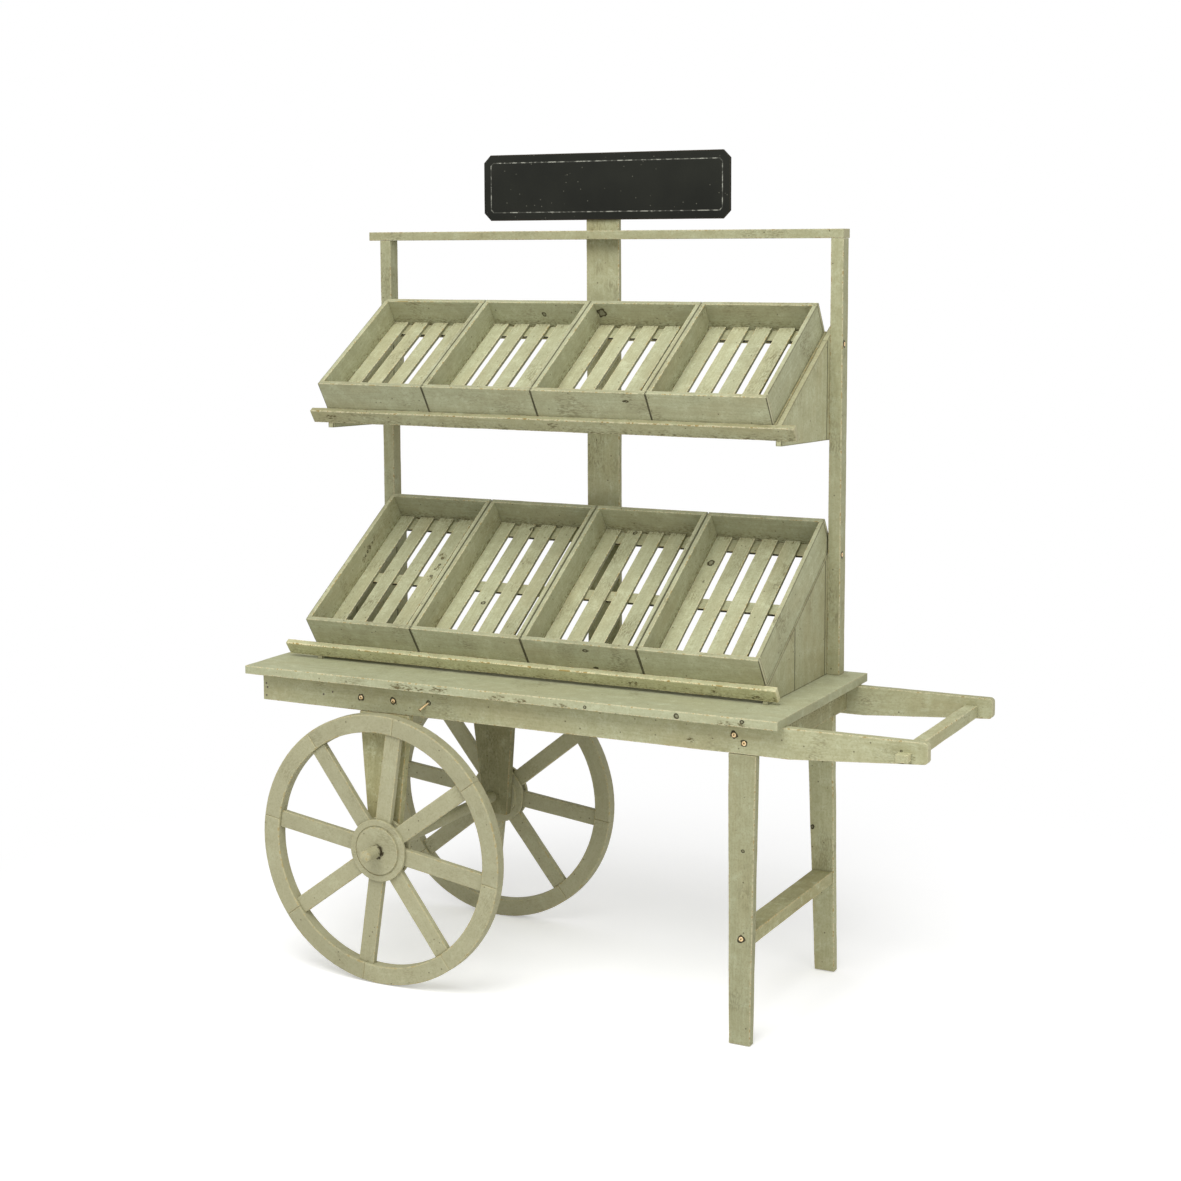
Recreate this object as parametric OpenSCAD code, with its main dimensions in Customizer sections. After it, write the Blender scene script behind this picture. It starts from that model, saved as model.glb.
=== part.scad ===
// A two-wheeled wooden display cart: a deck on two long rails that run on as handles,
// two big spoked wheels, two legs, and a stepped rack of lift-off slatted trays
// under a top rail with a small blackboard.
// Millimetres, +Z up, X along the deck towards the handles, front at -Y.
// The origin is on the ground under the middle of the whole cart.

/* [Deck] */
// Length of the deck board
deck_l = 1170; // [1150:10:1300]
// Depth of the deck board, front to back
deck_w = 480; // [470:2:540]
// Thickness of the deck board
deck_t = 17; // [12:1:25]
// Height of the deck's underside above the ground
deck_under = 602; // [590:2:680]
// How far the deck stands out past the outer face of each rail
deck_over = 32; // [20:1:45]

/* [Rails and handles] */
// Thickness of the rails
rail_t = 18; // [14:1:24]
// Height of the rails
rail_h = 58; // [50:1:80]
// Height of a rail at its handle end
handle_end_h = 40; // [30:1:48]
// How far the handles reach past the deck
handle_l = 270; // [200:5:340]
// Length of the straight stretch of rail past the deck, before it tapers
handle_straight = 9; // [0:1:40]
// Rounding of the corners at the handle ends
handle_round = 8; // [3:1:14]
// Set-back of the rails' plain ends from the deck's end
rail_setback = 22; // [0:1:60]

/* [Aprons and crossbar] */
// Thickness of the two aprons between the rails
apron_t = 18; // [12:1:24]
// Height of the apron at the handle end of the deck
right_apron_h = 49; // [30:1:50]
// Set-back of the apron at the handle end from the deck's end
right_apron_setback = 25; // [10:1:27]
// Width of the crossbar between the handles
crossbar_w = 24; // [18:1:35]
// Height of the crossbar
crossbar_h = 24; // [18:1:26]
// Distance from the handle ends to the crossbar
crossbar_from_end = 30; // [15:1:80]
// Distance of the crossbar's top under the rails' top
crossbar_drop = 16; // [8:1:16]
// Height of the crossbar's tenon
tenon_h = 15; // [10:1:16]
// Narrowing of the tenon at each side
tenon_side = 0.5; // [0.2:0.1:3]
// How far the tenon stands out of the front handle
tenon_proud = 20; // [5:1:30]

/* [Legs and brackets] */
// Angle at which the legs and brackets lean outwards
splay = 2.4; // [1:0.2:4]
// Thickness of the leg and bracket boards
leg_t = 18; // [14:1:24]
// Width of a leg at the underside of the rail
leg_top_w = 56; // [50:1:80]
// Width of a leg at the ground
leg_foot_w = 43; // [30:1:50]
// Distance from the deck's end to a leg's right edge
leg_from_end = 54; // [44:1:90]
// Thickness of the tongues by which legs and brackets are let into the rails
tongue_t = 9; // [6:1:10]
// Width of the stretcher between the legs
stretcher_w = 42; // [30:1:48]
// Height of the stretcher
stretcher_h = 25; // [18:1:40]
// Height of the stretcher's middle above the ground
stretcher_z = 200; // [120:1:320]
// Width of an axle bracket at the underside of the rail
bracket_top_w = 116; // [110:2:170]
// Width of an axle bracket at its foot
bracket_foot_w = 56; // [44:1:70]
// How far the front bracket sits to the left of the axle, and the rear one to the right
bracket_shift = 9; // [0:1:12]
// Distance from the axle's middle to the foot of a bracket
bracket_below = 38; // [26:1:60]

/* [Wheels and axle] */
// Radius of the wheels
wheel_r = 275; // [240:1:285]
// Distance from the deck's plain end to the axle
axle_from_end = 324; // [290:2:420]
// Radial width of the rim
rim_w = 36; // [24:1:50]
// Thickness of the rim
rim_t = 25; // [20:1:28]
// Bevel on the rim's edges
rim_bevel = 2; // [0.5:0.5:4]
// Width of a spoke
spoke_w = 34; // [24:1:36]
// Thickness of a spoke
spoke_t = 13; // [10:1:18]
// Radius of the hub's flanges
flange_r = 63; // [56:1:80]
// Thickness of a hub flange
flange_t = 7; // [5:0.5:12]
// Radius of the hub's bosses
boss_r = 48; // [30:1:52]
// Thickness of the hub's inner boss, against the bracket
boss_t = 6; // [4:0.5:12]
// Thickness of the hub's outer boss
outer_boss_t = 2.5; // [1:0.5:12]
// Radius of the hub's core between the flanges
core_r = 45; // [44:0.5:52]
// Width of the groove round the boss
groove_w = 3; // [1:0.5:4]
// Depth of the groove round the boss
groove_d = 1.5; // [0.5:0.5:3]
// Radius of the axle
axle_r = 12.5; // [9:0.5:16]
// How far the axle stands out of the hub
axle_proud = 45.5; // [15:0.5:60]
// Chamfer on the axle's ends
axle_chamfer = 2; // [0.5:0.5:4]
// Turn of the front wheel from a level spoke
front_turn = -8.6; // [-22:0.2:22]
// Turn of the rear wheel from a level spoke
rear_turn = -6.6; // [-22:0.2:22]

/* [Posts, top rail and blackboard] */
// Width of a post
post_w = 26; // [18:1:40]
// Depth of a post
post_d = 30; // [20:1:36]
// Height of the posts above the deck
post_h = 861; // [810:1:1000]
// Distance from the deck's plain end to the left post
post_from_end = 67; // [40:1:80]
// Thickness of the top rail
top_rail_t = 18; // [12:1:28]
// How far the top rail stands out past the left post
top_rail_over_l = 28; // [0:1:40]
// How far the top rail stands out past the right post
top_rail_over_r = 0; // [0:1:40]
// How far the top rail stands out behind the posts
top_rail_over_b = 6; // [2:1:12]
// Width of the centre post
centre_w = 75; // [50:1:120]
// Thickness of the centre post
centre_t = 12; // [8:1:16]
// Side shift of the centre post from the middle between the posts
centre_shift = -9.5; // [-20:0.5:20]
// How far the centre post ends under the blackboard's top edge
centre_below_sign = 18; // [2:1:60]
// Length of the blackboard
sign_l = 565; // [400:5:700]
// Height of the blackboard
sign_h = 137; // [100:1:200]
// Thickness of the blackboard
sign_t = 6; // [4:0.5:9]
// Clipped length at the blackboard's corners
sign_clip = 16; // [4:1:30]
// Gap between the top rail and the blackboard
sign_gap = 22; // [5:1:60]
// Side shift of the blackboard from the middle between the posts
sign_shift = -3.5; // [-20:0.5:20]

/* [Shelves] */
// Slope of the upper shelf
upper_slope = 32; // [28:0.5:34]
// Slope of the lower shelf
lower_slope = 33.5; // [28:0.5:35]
// Height of the upper shelf's front above the deck
upper_rise = 514; // [480:1:580]
// Depth of the upper cheeks' noses under the upper shelf's front
upper_cheek_drop = 37; // [36:1:70]
// How much lower the upper cheeks' underside is at the post than at the nose
upper_cheek_fall = 10; // [0:1:20]
// Gap behind the upper trays, to the centre post
upper_back_gap = 21.7; // [18:0.1:40]
// Gap behind the lower trays, to the centre post
lower_back_gap = 8.3; // [8:0.1:20]
// Thickness of the cheeks at the ends of the shelves
cheek_t = 12; // [8:1:16]
// Width of the stile at the back of each cheek
stile_w = 42; // [32:1:60]
// Width of the front board of the lower cheeks
lower_front_board_w = 133; // [90:1:170]
// Thickness of the front lips
lip_t = 12; // [8:1:16]
// Height of the upper lip
upper_lip_h = 30; // [20:1:34]
// Height of the lower lip
lower_lip_h = 30; // [22:1:36]
// How far a lip stands above the trays' undersides
lip_above = 5; // [3:0.5:10]
// Gap between the lower lip and the deck
lip_deck_gap = 5.5; // [2:0.5:20]
// How far the upper lip reaches past the left post
upper_lip_over_l = 9; // [0:1:40]
// How far the upper lip reaches past the right post
upper_lip_over_r = 5; // [0:1:14]
// How far the lower lip reaches past the left post
lower_lip_over_l = 42; // [0:1:60]
// How far the lower lip ends short of the right post's outer face
lower_lip_short_r = 5; // [0:1:14]
// Width of the bearers under the trays
bearer_w = 30; // [20:1:34]
// Depth of the front bearers
front_bearer_h = 20; // [10:1:21]
// Depth of the rear bearers
rear_bearer_h = 12; // [8:1:16]
// Width of the runner inside the right cheek of the upper shelf
runner_w = 20; // [14:1:30]
// Depth of that runner
runner_h = 14; // [8:1:24]

/* [Trays] */
// Width of a lower tray
lower_tray_w = 249.5; // [244:0.5:256]
// How much narrower an upper tray is
upper_narrower = 2.5; // [0.5:0.5:8]
// Length of an upper tray along the slope
upper_tray_l = 314; // [280:1:330]
// Length of a lower tray along the slope
lower_tray_l = 405; // [360:1:420]
// Height of an upper tray
upper_tray_h = 66; // [50:1:80]
// Height of a lower tray
lower_tray_h = 68; // [50:1:80]
// Gap between upper trays
upper_tray_gap = 1; // [0.5:0.5:2]
// Gap between lower trays
lower_tray_gap = 2; // [0.5:0.5:4]
// Thickness of a tray's walls
wall_t = 9.5; // [7:0.5:12]
// Width of a floor slat
slat_w = 33.5; // [30:0.5:40]
// Distance from one floor slat to the next
slat_pitch = 49.5; // [45:0.5:50]
// Thickness of a floor slat
slat_t = 7; // [5:0.5:9]
// Width of the battens at the ends of a tray's floor
batten_w = 35; // [24:1:44]
// Width of the batten in the middle of a lower tray's floor
mid_batten_w = 28; // [20:1:40]
// Thickness of the battens
batten_t = 6; // [4:0.5:9]

/* [Screws and nails] */
// Radius of a screw's head
screw_head_r = 4.5; // [3.5:0.1:5]
// Height of a screw's head
screw_head_h = 1.8; // [1:0.1:2.5]
// Radius of a screw's shank
screw_r = 2; // [1.5:0.1:2.5]
// Length of a screw's shank
screw_l = 30; // [26:1:34]
// Length of the shank of a screw through a rail into a tongue
rail_screw_l = 16; // [12:1:17]
// Radius of a nail's head
nail_head_r = 2; // [1.6:0.1:3]
// Radius of a nail's shank
nail_r = 1.1; // [0.8:0.1:1.4]
// Length of a nail's shank
nail_l = 28; // [22:1:34]

/* [Fits] */
// Radial clearance of the wheels on the axle
wheel_fit = 0.1; // [0.02:0.01:0.1]
// Radial clearance of a fixed pin, screw or axle in its hole
hole_fit = 0.1; // [0.05:0.05:0.3]
// Clearance between the hub and the leaning bracket
hub_gap = 1; // [1:0.5:5]
// Clearance under and in front of a tray at rest
tray_seat = 0.3; // [0.2:0.05:0.6]
// Clearance between the left post and the first tray
tray_side_l = 1; // [0.5:0.5:3]
// Clearance between the last lower tray and the right post
tray_side_r = 3; // [0.5:0.5:6]
// Width of the joints between glued or nailed pieces of one assembly
joint = 0.2; // [0.1:0.05:0.4]

/* [Hidden] */
$fn = 96;

// Colours: sage-washed pine, the browner wheels, the blackboard, brass and iron
sage = "#a9ad8a";
sage_dark = "#8f9270";
wheel_wood = "#9c9a78";
board_black = "#262825";
brass = "#b28a4a";
iron = "#5a5146";

// Counts that belong to the design
TRAYS = 4;
SLATS = 4;
SPOKES = 8;
// A length that reaches past anything it cuts
THROUGH = 2000;

// Along the cart
x_left = -(deck_l + handle_l) / 2;
x_deck_end = x_left + deck_l;
x_handle_end = x_deck_end + handle_l;
x_rail = x_left + rail_setback;
x_axle = x_left + axle_from_end;
x_taper = x_deck_end + handle_straight;
x_crossbar = x_handle_end - crossbar_from_end - crossbar_w;
x_right_apron = x_deck_end - right_apron_setback - apron_t;

// Heights
z_deck = deck_under + deck_t;
z_rail = deck_under - rail_h;
z_axle = wheel_r;
z_crossbar = deck_under - crossbar_drop - crossbar_h;
z_tenon = z_crossbar + (crossbar_h - tenon_h) / 2;

// Across the cart, measured outwards from the middle
y_rail = deck_w / 2 - deck_over;
y_rail_in = y_rail - rail_t;
lean = tan(splay);
leg_t_level = leg_t / cos(splay);

// Outer face of a leaning board at a height: flush with the rail where it meets it
function y_board(z) = y_rail + (z_rail - z) * lean;

// Legs: the right edge is upright, the left edge is straight from rail to ground
leg_right = x_deck_end - leg_from_end;
function leg_left(z) = leg_right - leg_foot_w - (leg_top_w - leg_foot_w) * z / z_rail;
leg_mid = (leg_left(stretcher_z) + leg_right) / 2;

// Brackets: half width at a height
z_bracket = z_axle - bracket_below;
function bracket_half(z) = (bracket_foot_w
    + (bracket_top_w - bracket_foot_w) * (z - z_bracket) / (z_rail - z_bracket)) / 2;

// Wheel layers, outwards from the bracket
y_hub_in = y_board(z_axle - boss_r) + hub_gap;
y_spoke_in = y_hub_in + boss_t + flange_t;
y_hub_out = y_spoke_in + spoke_t + flange_t + outer_boss_t;
y_rim_in = y_spoke_in + spoke_t / 2 - rim_t / 2;
y_axle_end = y_hub_out + axle_proud;
rim_in_r = wheel_r - rim_w;
spoke_step = 360 / SPOKES;

// Rack: posts, top rail, centre post
y_centre = deck_w / 2 - centre_t;
y_post_back = y_centre - top_rail_over_b;
y_post = y_post_back - post_d;
shelf_w = TRAYS * lower_tray_w + (TRAYS - 1) * lower_tray_gap + tray_side_l + tray_side_r;
x_post_l = x_left + post_from_end;
x_shelf = x_post_l + post_w;
x_post_r = x_shelf + shelf_w;
x_rack_end = x_post_r + post_w;
x_rack_mid = (x_post_l + x_rack_end) / 2;
z_top_rail = z_deck + post_h;
z_sign = z_top_rail + top_rail_t + sign_gap;
x_centre = x_rack_mid + centre_shift - centre_w / 2;

// Shelf planes: the front lower edge of the trays' undersides
upper_lip_below = upper_lip_h - lip_above;
lower_lip_below = lower_lip_h - lip_above;
y_upper = y_centre - upper_back_gap - upper_tray_l * cos(upper_slope);
y_lower = y_centre - lower_back_gap - lower_tray_l * cos(lower_slope);
z_upper = z_deck + upper_rise;
z_lower = z_deck + lip_deck_gap + lower_lip_below * cos(lower_slope) + lip_t * sin(lower_slope);
upper_tray_w = lower_tray_w - upper_narrower;

// Fasteners: heights as parts of the rail's height
at_low = z_rail + 0.17 * rail_h;
at_leg_low = z_rail + 0.36 * rail_h;
at_middle = z_rail + 0.46 * rail_h;
at_high = z_rail + 0.6 * rail_h;
// Screws at a bracket, one near its edge and one near its middle, and screws at a leg
bracket_screw_out = 63;
bracket_screw_in = 13;
leg_screw_out = 44;
leg_screw_in = 24;
function rail_screws(side) = [
    [x_axle + side * bracket_screw_out, at_middle],
    [x_axle - side * bracket_screw_in, at_middle],
    [leg_right - leg_screw_out, at_high],
    [leg_right - leg_screw_in, at_leg_low]
];
// The one screw left half driven, with its lean in degrees and its depth in the rail
stray_screw_from_axle = 94;
stray_screw = [x_axle + stray_screw_from_axle, z_rail + 0.52 * rail_h];
stray_tilt = [37.6, 0, -50.4];
stray_in = 9;
// The screws through the right post, above the deck, and through the leg
lower_post_screw = 241;
upper_post_screw = 142;
post_screws = [z_deck + lower_post_screw, z_upper + upper_post_screw];
post_screw_y = y_post + 0.35 * post_d;
leg_screw_x = leg_mid + 2;
// Nails through the rail into the apron's end
rail_nails = [
    [x_rail + 0.45 * apron_t, at_high],
    [x_rail + 0.6 * apron_t, at_middle],
    [x_rail + 0.45 * apron_t, at_low]
];
// Short nails that hold nothing but the rail itself
low_nail_from_axle = 153;
high_nail_from_axle = 131;
short_nails = [
    [x_axle - low_nail_from_axle, z_rail + 0.43 * rail_h],
    [x_axle - high_nail_from_axle, z_rail + 0.55 * rail_h]
];
short_nail_l = rail_t - 3;
nail_head_h = 0.5;
// A screw head's underside, as a part of its full radius
screw_head_taper = 0.72;
// Cheeks: left faces of the left and the right one
x_cheek_l = x_shelf;
x_cheek_r = x_post_r - cheek_t;

// A box from one corner to the other
module block(a, b) {
    translate(a) cube(b - a);
}

// Turns a drawing in X and Z into a solid between two places across the cart
module across(y0, y1) {
    translate([0, y1, 0]) rotate([90, 0, 0]) linear_extrude(height = y1 - y0) children();
}

// Turns a drawing in Y and Z into a solid between two places along the cart
module along(x0, x1) {
    translate([x0, 0, 0]) rotate([90, 0, 90]) linear_extrude(height = x1 - x0) children();
}

// A round bar across the cart
module bar(r, y0, y1) {
    translate([0, y1, 0]) rotate([90, 0, 0]) cylinder(r = r, h = y1 - y0);
}

// A screw with its head outside, its shank running inwards along +Y
module screw(len) {
    translate([0, -screw_head_h, 0]) rotate([-90, 0, 0])
        cylinder(r1 = screw_head_r * screw_head_taper, r2 = screw_head_r, h = screw_head_h);
    bar(screw_r, 0, len);
}

// The hole that a shank of some radius and length sits in
module shank_hole(r, len) {
    bar(r + hole_fit, -joint, len + joint);
}

// A nail with its head outside, its shank running inwards along +Y
module nail(len) {
    bar(nail_head_r, -nail_head_h, 0);
    bar(nail_r, 0, len);
}

// Puts its children on the front rail's outer face at a list of places
module on_rail(places) {
    for (p = places) translate([p[0], -y_rail, p[1]]) children();
}

// Puts its children on the front leg's outer face, square to it, at the stretcher
module on_leg() {
    translate([leg_screw_x, -y_board(stretcher_z), stretcher_z]) rotate([-splay, 0, 0]) children();
}

// Puts its children on the outer face of the right post, running inwards
module on_right_post() {
    for (z = post_screws) translate([x_rack_end, post_screw_y, z]) rotate([0, 0, 90]) children();
}

// Mirrors its children from the right end of the rack to the left end
module mirror_rack() {
    translate([2 * x_rack_mid, 0, 0]) mirror([1, 0, 0]) children();
}

// Everything that is drilled into a rail and what is behind it, drawn as for the front;
// side is -1 for the front and 1 for the rear, whose bracket sits the other way
module drillings(side) {
    on_rail(rail_screws(side)) shank_hole(screw_r, rail_screw_l);
    on_rail(rail_nails) shank_hole(nail_r, nail_l);
    on_rail(short_nails) shank_hole(nail_r, short_nail_l);
    on_leg() shank_hole(screw_r, screw_l);
}

module both_drillings() {
    drillings(-1);
    mirror([0, 1, 0]) drillings(1);
}

module deck() {
    color(sage) block([x_left, -deck_w / 2, deck_under], [x_deck_end, deck_w / 2, z_deck]);
}

// Outline of a rail from the side: straight, then tapering to a rounded end
module rail_outline() {
    z_end = deck_under - handle_end_h;
    e = x_handle_end;
    r = handle_round;
    polygon([
        [x_rail, z_rail],
        [x_taper, z_rail],
        [e - r, z_end],
        [e, z_end + r],
        [e, deck_under - r],
        [e - r, deck_under],
        [x_rail, deck_under]
    ]);
    for (z = [z_end + r, deck_under - r]) translate([e - r, z]) circle(r = r);
}

// The place that the crossbar's tenon fills, with some clearance round it
module tenon_space(fit) {
    block(
        [x_crossbar + tenon_side - fit, -y_rail - tenon_proud, z_tenon - fit],
        [x_crossbar + crossbar_w - tenon_side + fit, -y_rail_in + joint, z_tenon + tenon_h + fit]
    );
}

// Outline of a leg from the side, a little larger by some clearance
module leg_outline(z0, fit) {
    polygon([
        [leg_left(z0) - fit, z0],
        [leg_right + fit, z0],
        [leg_right + fit, deck_under + fit],
        [leg_left(deck_under) - fit, deck_under + fit]
    ]);
}

// Outline of a bracket from the side, a little larger by some clearance
module bracket_outline(side, z0, fit) {
    x = x_axle + side * bracket_shift;
    polygon([
        [x - bracket_half(z0) - fit, z0],
        [x + bracket_half(z0) + fit, z0],
        [x + bracket_half(deck_under) + fit, deck_under + fit],
        [x - bracket_half(deck_under) - fit, deck_under + fit]
    ]);
}

// The housings in a rail's inner face for the tongues of a leg and a bracket
module housings(side) {
    across(-y_rail_in - tongue_t, 0) {
        leg_outline(z_rail - joint, joint);
        bracket_outline(side, z_rail - joint, joint);
    }
}

module front_rail() {
    color(sage) difference() {
        across(-y_rail, -y_rail_in) rail_outline();
        drillings(-1);
        housings(-1);
        tenon_space(hole_fit);
        translate([stray_screw[0], -y_rail, stray_screw[1]]) rotate(stray_tilt)
            bar(screw_r + hole_fit, -rail_t, stray_in + joint);
    }
}

module rear_rail() {
    color(sage) difference() {
        across(y_rail_in, y_rail) rail_outline();
        mirror([0, 1, 0]) drillings(1);
        mirror([0, 1, 0]) housings(1);
    }
}

module left_apron() {
    color(sage_dark) difference() {
        block(
            [x_rail, -y_rail_in + joint, z_rail],
            [x_rail + apron_t, y_rail_in - joint, deck_under - joint]
        );
        both_drillings();
    }
}

module right_apron() {
    color(sage_dark) block(
        [x_right_apron, -y_rail_in + joint, deck_under - right_apron_h],
        [x_right_apron + apron_t, y_rail_in - joint, deck_under - joint]
    );
}

module handle_crossbar() {
    color(sage) {
        block(
            [x_crossbar, -y_rail_in + joint, z_crossbar],
            [x_crossbar + crossbar_w, y_rail_in - joint, z_crossbar + crossbar_h]
        );
        tenon_space(0);
    }
}

// Section of a leaning board: its shoulder stands under the rail, flush with it outside,
// and its upright tongue is let into the rail's inner face
module leaning_section(z0) {
    shoulder = z_rail - joint;
    polygon([
        [-y_board(z0), z0],
        [-y_board(shoulder), shoulder],
        [-y_rail_in - tongue_t + joint, shoulder],
        [-y_rail_in - tongue_t + joint, deck_under - joint],
        [-y_rail_in, deck_under - joint],
        [-y_rail_in, shoulder],
        [-y_board(z0) + leg_t_level, z0]
    ]);
}

module leg(side) {
    color(sage) difference() {
        intersection() {
            along(-THROUGH, THROUGH) leaning_section(0);
            across(-THROUGH, THROUGH) leg_outline(0, 0);
        }
        drillings(side);
    }
}

module front_leg() {
    leg(-1);
}

module rear_leg() {
    mirror([0, 1, 0]) leg(1);
}

module leg_stretcher() {
    z0 = stretcher_z - stretcher_h / 2;
    z1 = stretcher_z + stretcher_h / 2;
    y0 = y_board(z0) - leg_t_level - joint;
    y1 = y_board(z1) - leg_t_level - joint;
    color(sage_dark) difference() {
        along(leg_mid - stretcher_w / 2, leg_mid + stretcher_w / 2)
            polygon([[-y0, z0], [y0, z0], [y1, z1], [-y1, z1]]);
        both_drillings();
    }
}

module bracket(side) {
    color(sage_dark) difference() {
        intersection() {
            along(-THROUGH, THROUGH) leaning_section(z_bracket);
            across(-THROUGH, THROUGH) bracket_outline(side, z_bracket, 0);
        }
        drillings(side);
        translate([x_axle, 0, z_axle]) bar(axle_r + hole_fit, -y_axle_end, 0);
    }
}

module front_axle_bracket() {
    bracket(-1);
}

module rear_axle_bracket() {
    mirror([0, 1, 0]) bracket(1);
}

module axle() {
    c = axle_chamfer;
    color(wheel_wood) translate([x_axle, 0, z_axle]) rotate([90, 0, 0]) rotate_extrude() polygon([
        [0, -y_axle_end],
        [axle_r - c, -y_axle_end],
        [axle_r, -y_axle_end + c],
        [axle_r, y_axle_end - c],
        [axle_r - c, y_axle_end],
        [0, y_axle_end]
    ]);
}

// Puts a wheel piece, drawn round the Y axis, on the front end of the axle
module on_front_axle(turn) {
    translate([x_axle, 0, z_axle]) rotate([0, -turn, 0]) children();
}

// The rim: a bevelled ring, sawn through midway between the spokes
module felloes() {
    b = rim_bevel;
    difference() {
        translate([0, -y_rim_in, 0]) rotate([90, 0, 0]) rotate_extrude($fn = 192) polygon([
            [rim_in_r + b, 0],
            [wheel_r - b, 0],
            [wheel_r, b],
            [wheel_r, rim_t - b],
            [wheel_r - b, rim_t],
            [rim_in_r + b, rim_t],
            [rim_in_r, rim_t - b],
            [rim_in_r, b]
        ]);
        for (k = [0 : SPOKES / 2 - 1]) rotate([0, -(k + 0.5) * spoke_step, 0])
            cube([THROUGH, THROUGH, joint], center = true);
    }
}

// The spokes: flat boards from the hub's core to the rim
module spokes() {
    for (k = [0 : SPOKES - 1]) rotate([0, -k * spoke_step, 0]) difference() {
        intersection() {
            block(
                [0, -y_spoke_in - spoke_t + joint, -spoke_w / 2],
                [wheel_r, -y_spoke_in - joint, spoke_w / 2]
            );
            bar(rim_in_r - joint, -THROUGH, 0);
        }
        bar(core_r + joint, -THROUGH, 0);
    }
}

// The hub: a core between two flanges, each with a boss set in a ring groove
module hub() {
    difference() {
        union() {
            bar(boss_r, -y_hub_out, -y_hub_in);
            bar(flange_r, -y_hub_in - boss_t - flange_t, -y_hub_in - boss_t);
            bar(flange_r, -y_spoke_in - spoke_t - flange_t, -y_spoke_in - spoke_t);
            bar(core_r, -y_hub_out + outer_boss_t, -y_hub_in - boss_t);
        }
        difference() {
            bar(
                boss_r + groove_w,
                -y_hub_out + outer_boss_t - joint,
                -y_hub_out + outer_boss_t + groove_d
            );
            bar(boss_r, -THROUGH, 0);
        }
        difference() {
            bar(THROUGH, -y_spoke_in - spoke_t, -y_spoke_in);
            bar(core_r, -THROUGH, 0);
        }
        bar(axle_r + wheel_fit, -THROUGH, 0);
    }
}

module front_wheel_felloes() {
    color(wheel_wood) on_front_axle(front_turn) felloes();
}

module front_wheel_spokes() {
    color(wheel_wood) on_front_axle(front_turn) spokes();
}

module front_wheel_hub() {
    color(wheel_wood) on_front_axle(front_turn) hub();
}

module rear_wheel_felloes() {
    color(wheel_wood) mirror([0, 1, 0]) on_front_axle(rear_turn) felloes();
}

module rear_wheel_spokes() {
    color(wheel_wood) mirror([0, 1, 0]) on_front_axle(rear_turn) spokes();
}

module rear_wheel_hub() {
    color(wheel_wood) mirror([0, 1, 0]) on_front_axle(rear_turn) hub();
}

// The holes for the screws through the posts into the cheeks
module rack_drillings() {
    on_right_post() shank_hole(screw_r, screw_l);
    mirror_rack() on_right_post() shank_hole(screw_r, screw_l);
}

// A post at a place along the deck
module post(x) {
    color(sage) difference() {
        block([x, y_post, z_deck], [x + post_w, y_post_back, z_top_rail]);
        rack_drillings();
    }
}

module left_post() {
    post(x_post_l);
}

module right_post() {
    post(x_post_r);
}

module centre_post() {
    color(sage) block(
        [x_centre, y_centre, z_deck],
        [x_centre + centre_w, y_centre + centre_t, z_sign + sign_h - centre_below_sign]
    );
}

module top_rail() {
    color(sage) block(
        [x_post_l - top_rail_over_l, y_post, z_top_rail],
        [x_rack_end + top_rail_over_r, y_centre, z_top_rail + top_rail_t]
    );
}

module sign_board() {
    c = sign_clip;
    color(board_black) translate([x_rack_mid + sign_shift - sign_l / 2, 0, z_sign])
        across(y_centre - sign_t, y_centre) polygon([
            [c, 0],
            [sign_l - c, 0],
            [sign_l, c],
            [sign_l, sign_h - c],
            [sign_l - c, sign_h],
            [c, sign_h],
            [0, sign_h - c],
            [0, c]
        ]);
}

// Outline of a cheek in Y and Z. Its top follows the shelf, its front lies against the
// lip's back and runs on as a short nose under the lip. Its underside may fall to the post.
module cheek_outline(y0, z0, slope, lip_below, z_nose, z_post) {
    behind = [y0 + lip_below * sin(slope), z0 - lip_below * cos(slope)];
    nose = behind - lip_t * [cos(slope), sin(slope)];
    polygon([
        [y0, z0],
        behind,
        nose,
        [nose[0], z_nose],
        [y_post_back, z_post],
        [y_post_back, z0 + (y_post_back - y0) * tan(slope)]
    ]);
}

// A thin upright slot between two boards of a cheek
module seam(y) {
    block([-THROUGH, y - joint / 2, 0], [THROUGH, y + joint / 2, THROUGH]);
}

// A cheek of the upper shelf: one board and a stile at the back
module upper_cheek(x) {
    z_nose = z_upper - upper_cheek_drop;
    z_post = z_nose - upper_cheek_fall;
    color(sage) difference() {
        along(x, x + cheek_t)
            cheek_outline(y_upper, z_upper, upper_slope, upper_lip_below, z_nose, z_post);
        seam(y_post_back - stile_w);
        rack_drillings();
    }
}

// A cheek of the lower shelf: two boards and a stile at the back
module lower_cheek(x) {
    y_nose = y_lower + lower_lip_below * sin(lower_slope) - lip_t * cos(lower_slope);
    color(sage) difference() {
        along(x, x + cheek_t)
            cheek_outline(y_lower, z_lower, lower_slope, lower_lip_below, z_deck, z_deck);
        seam(y_post_back - stile_w);
        seam(y_nose + lower_front_board_w);
        rack_drillings();
    }
}

module upper_left_cheek() {
    upper_cheek(x_cheek_l);
}

module upper_right_cheek() {
    upper_cheek(x_cheek_r);
}

module lower_left_cheek() {
    lower_cheek(x_cheek_l);
}

module lower_right_cheek() {
    lower_cheek(x_cheek_r);
}

// Stands its children on a shelf: X along the shelf, Y up the slope, Z square to it
module on_upper() {
    translate([0, y_upper, z_upper]) rotate([upper_slope, 0, 0]) children();
}

module on_lower() {
    translate([0, y_lower, z_lower]) rotate([lower_slope, 0, 0]) children();
}

module upper_lip() {
    color(sage) on_upper() block(
        [x_post_l - upper_lip_over_l, -lip_t, -upper_lip_below],
        [x_rack_end + upper_lip_over_r, 0, lip_above]
    );
}

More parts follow.
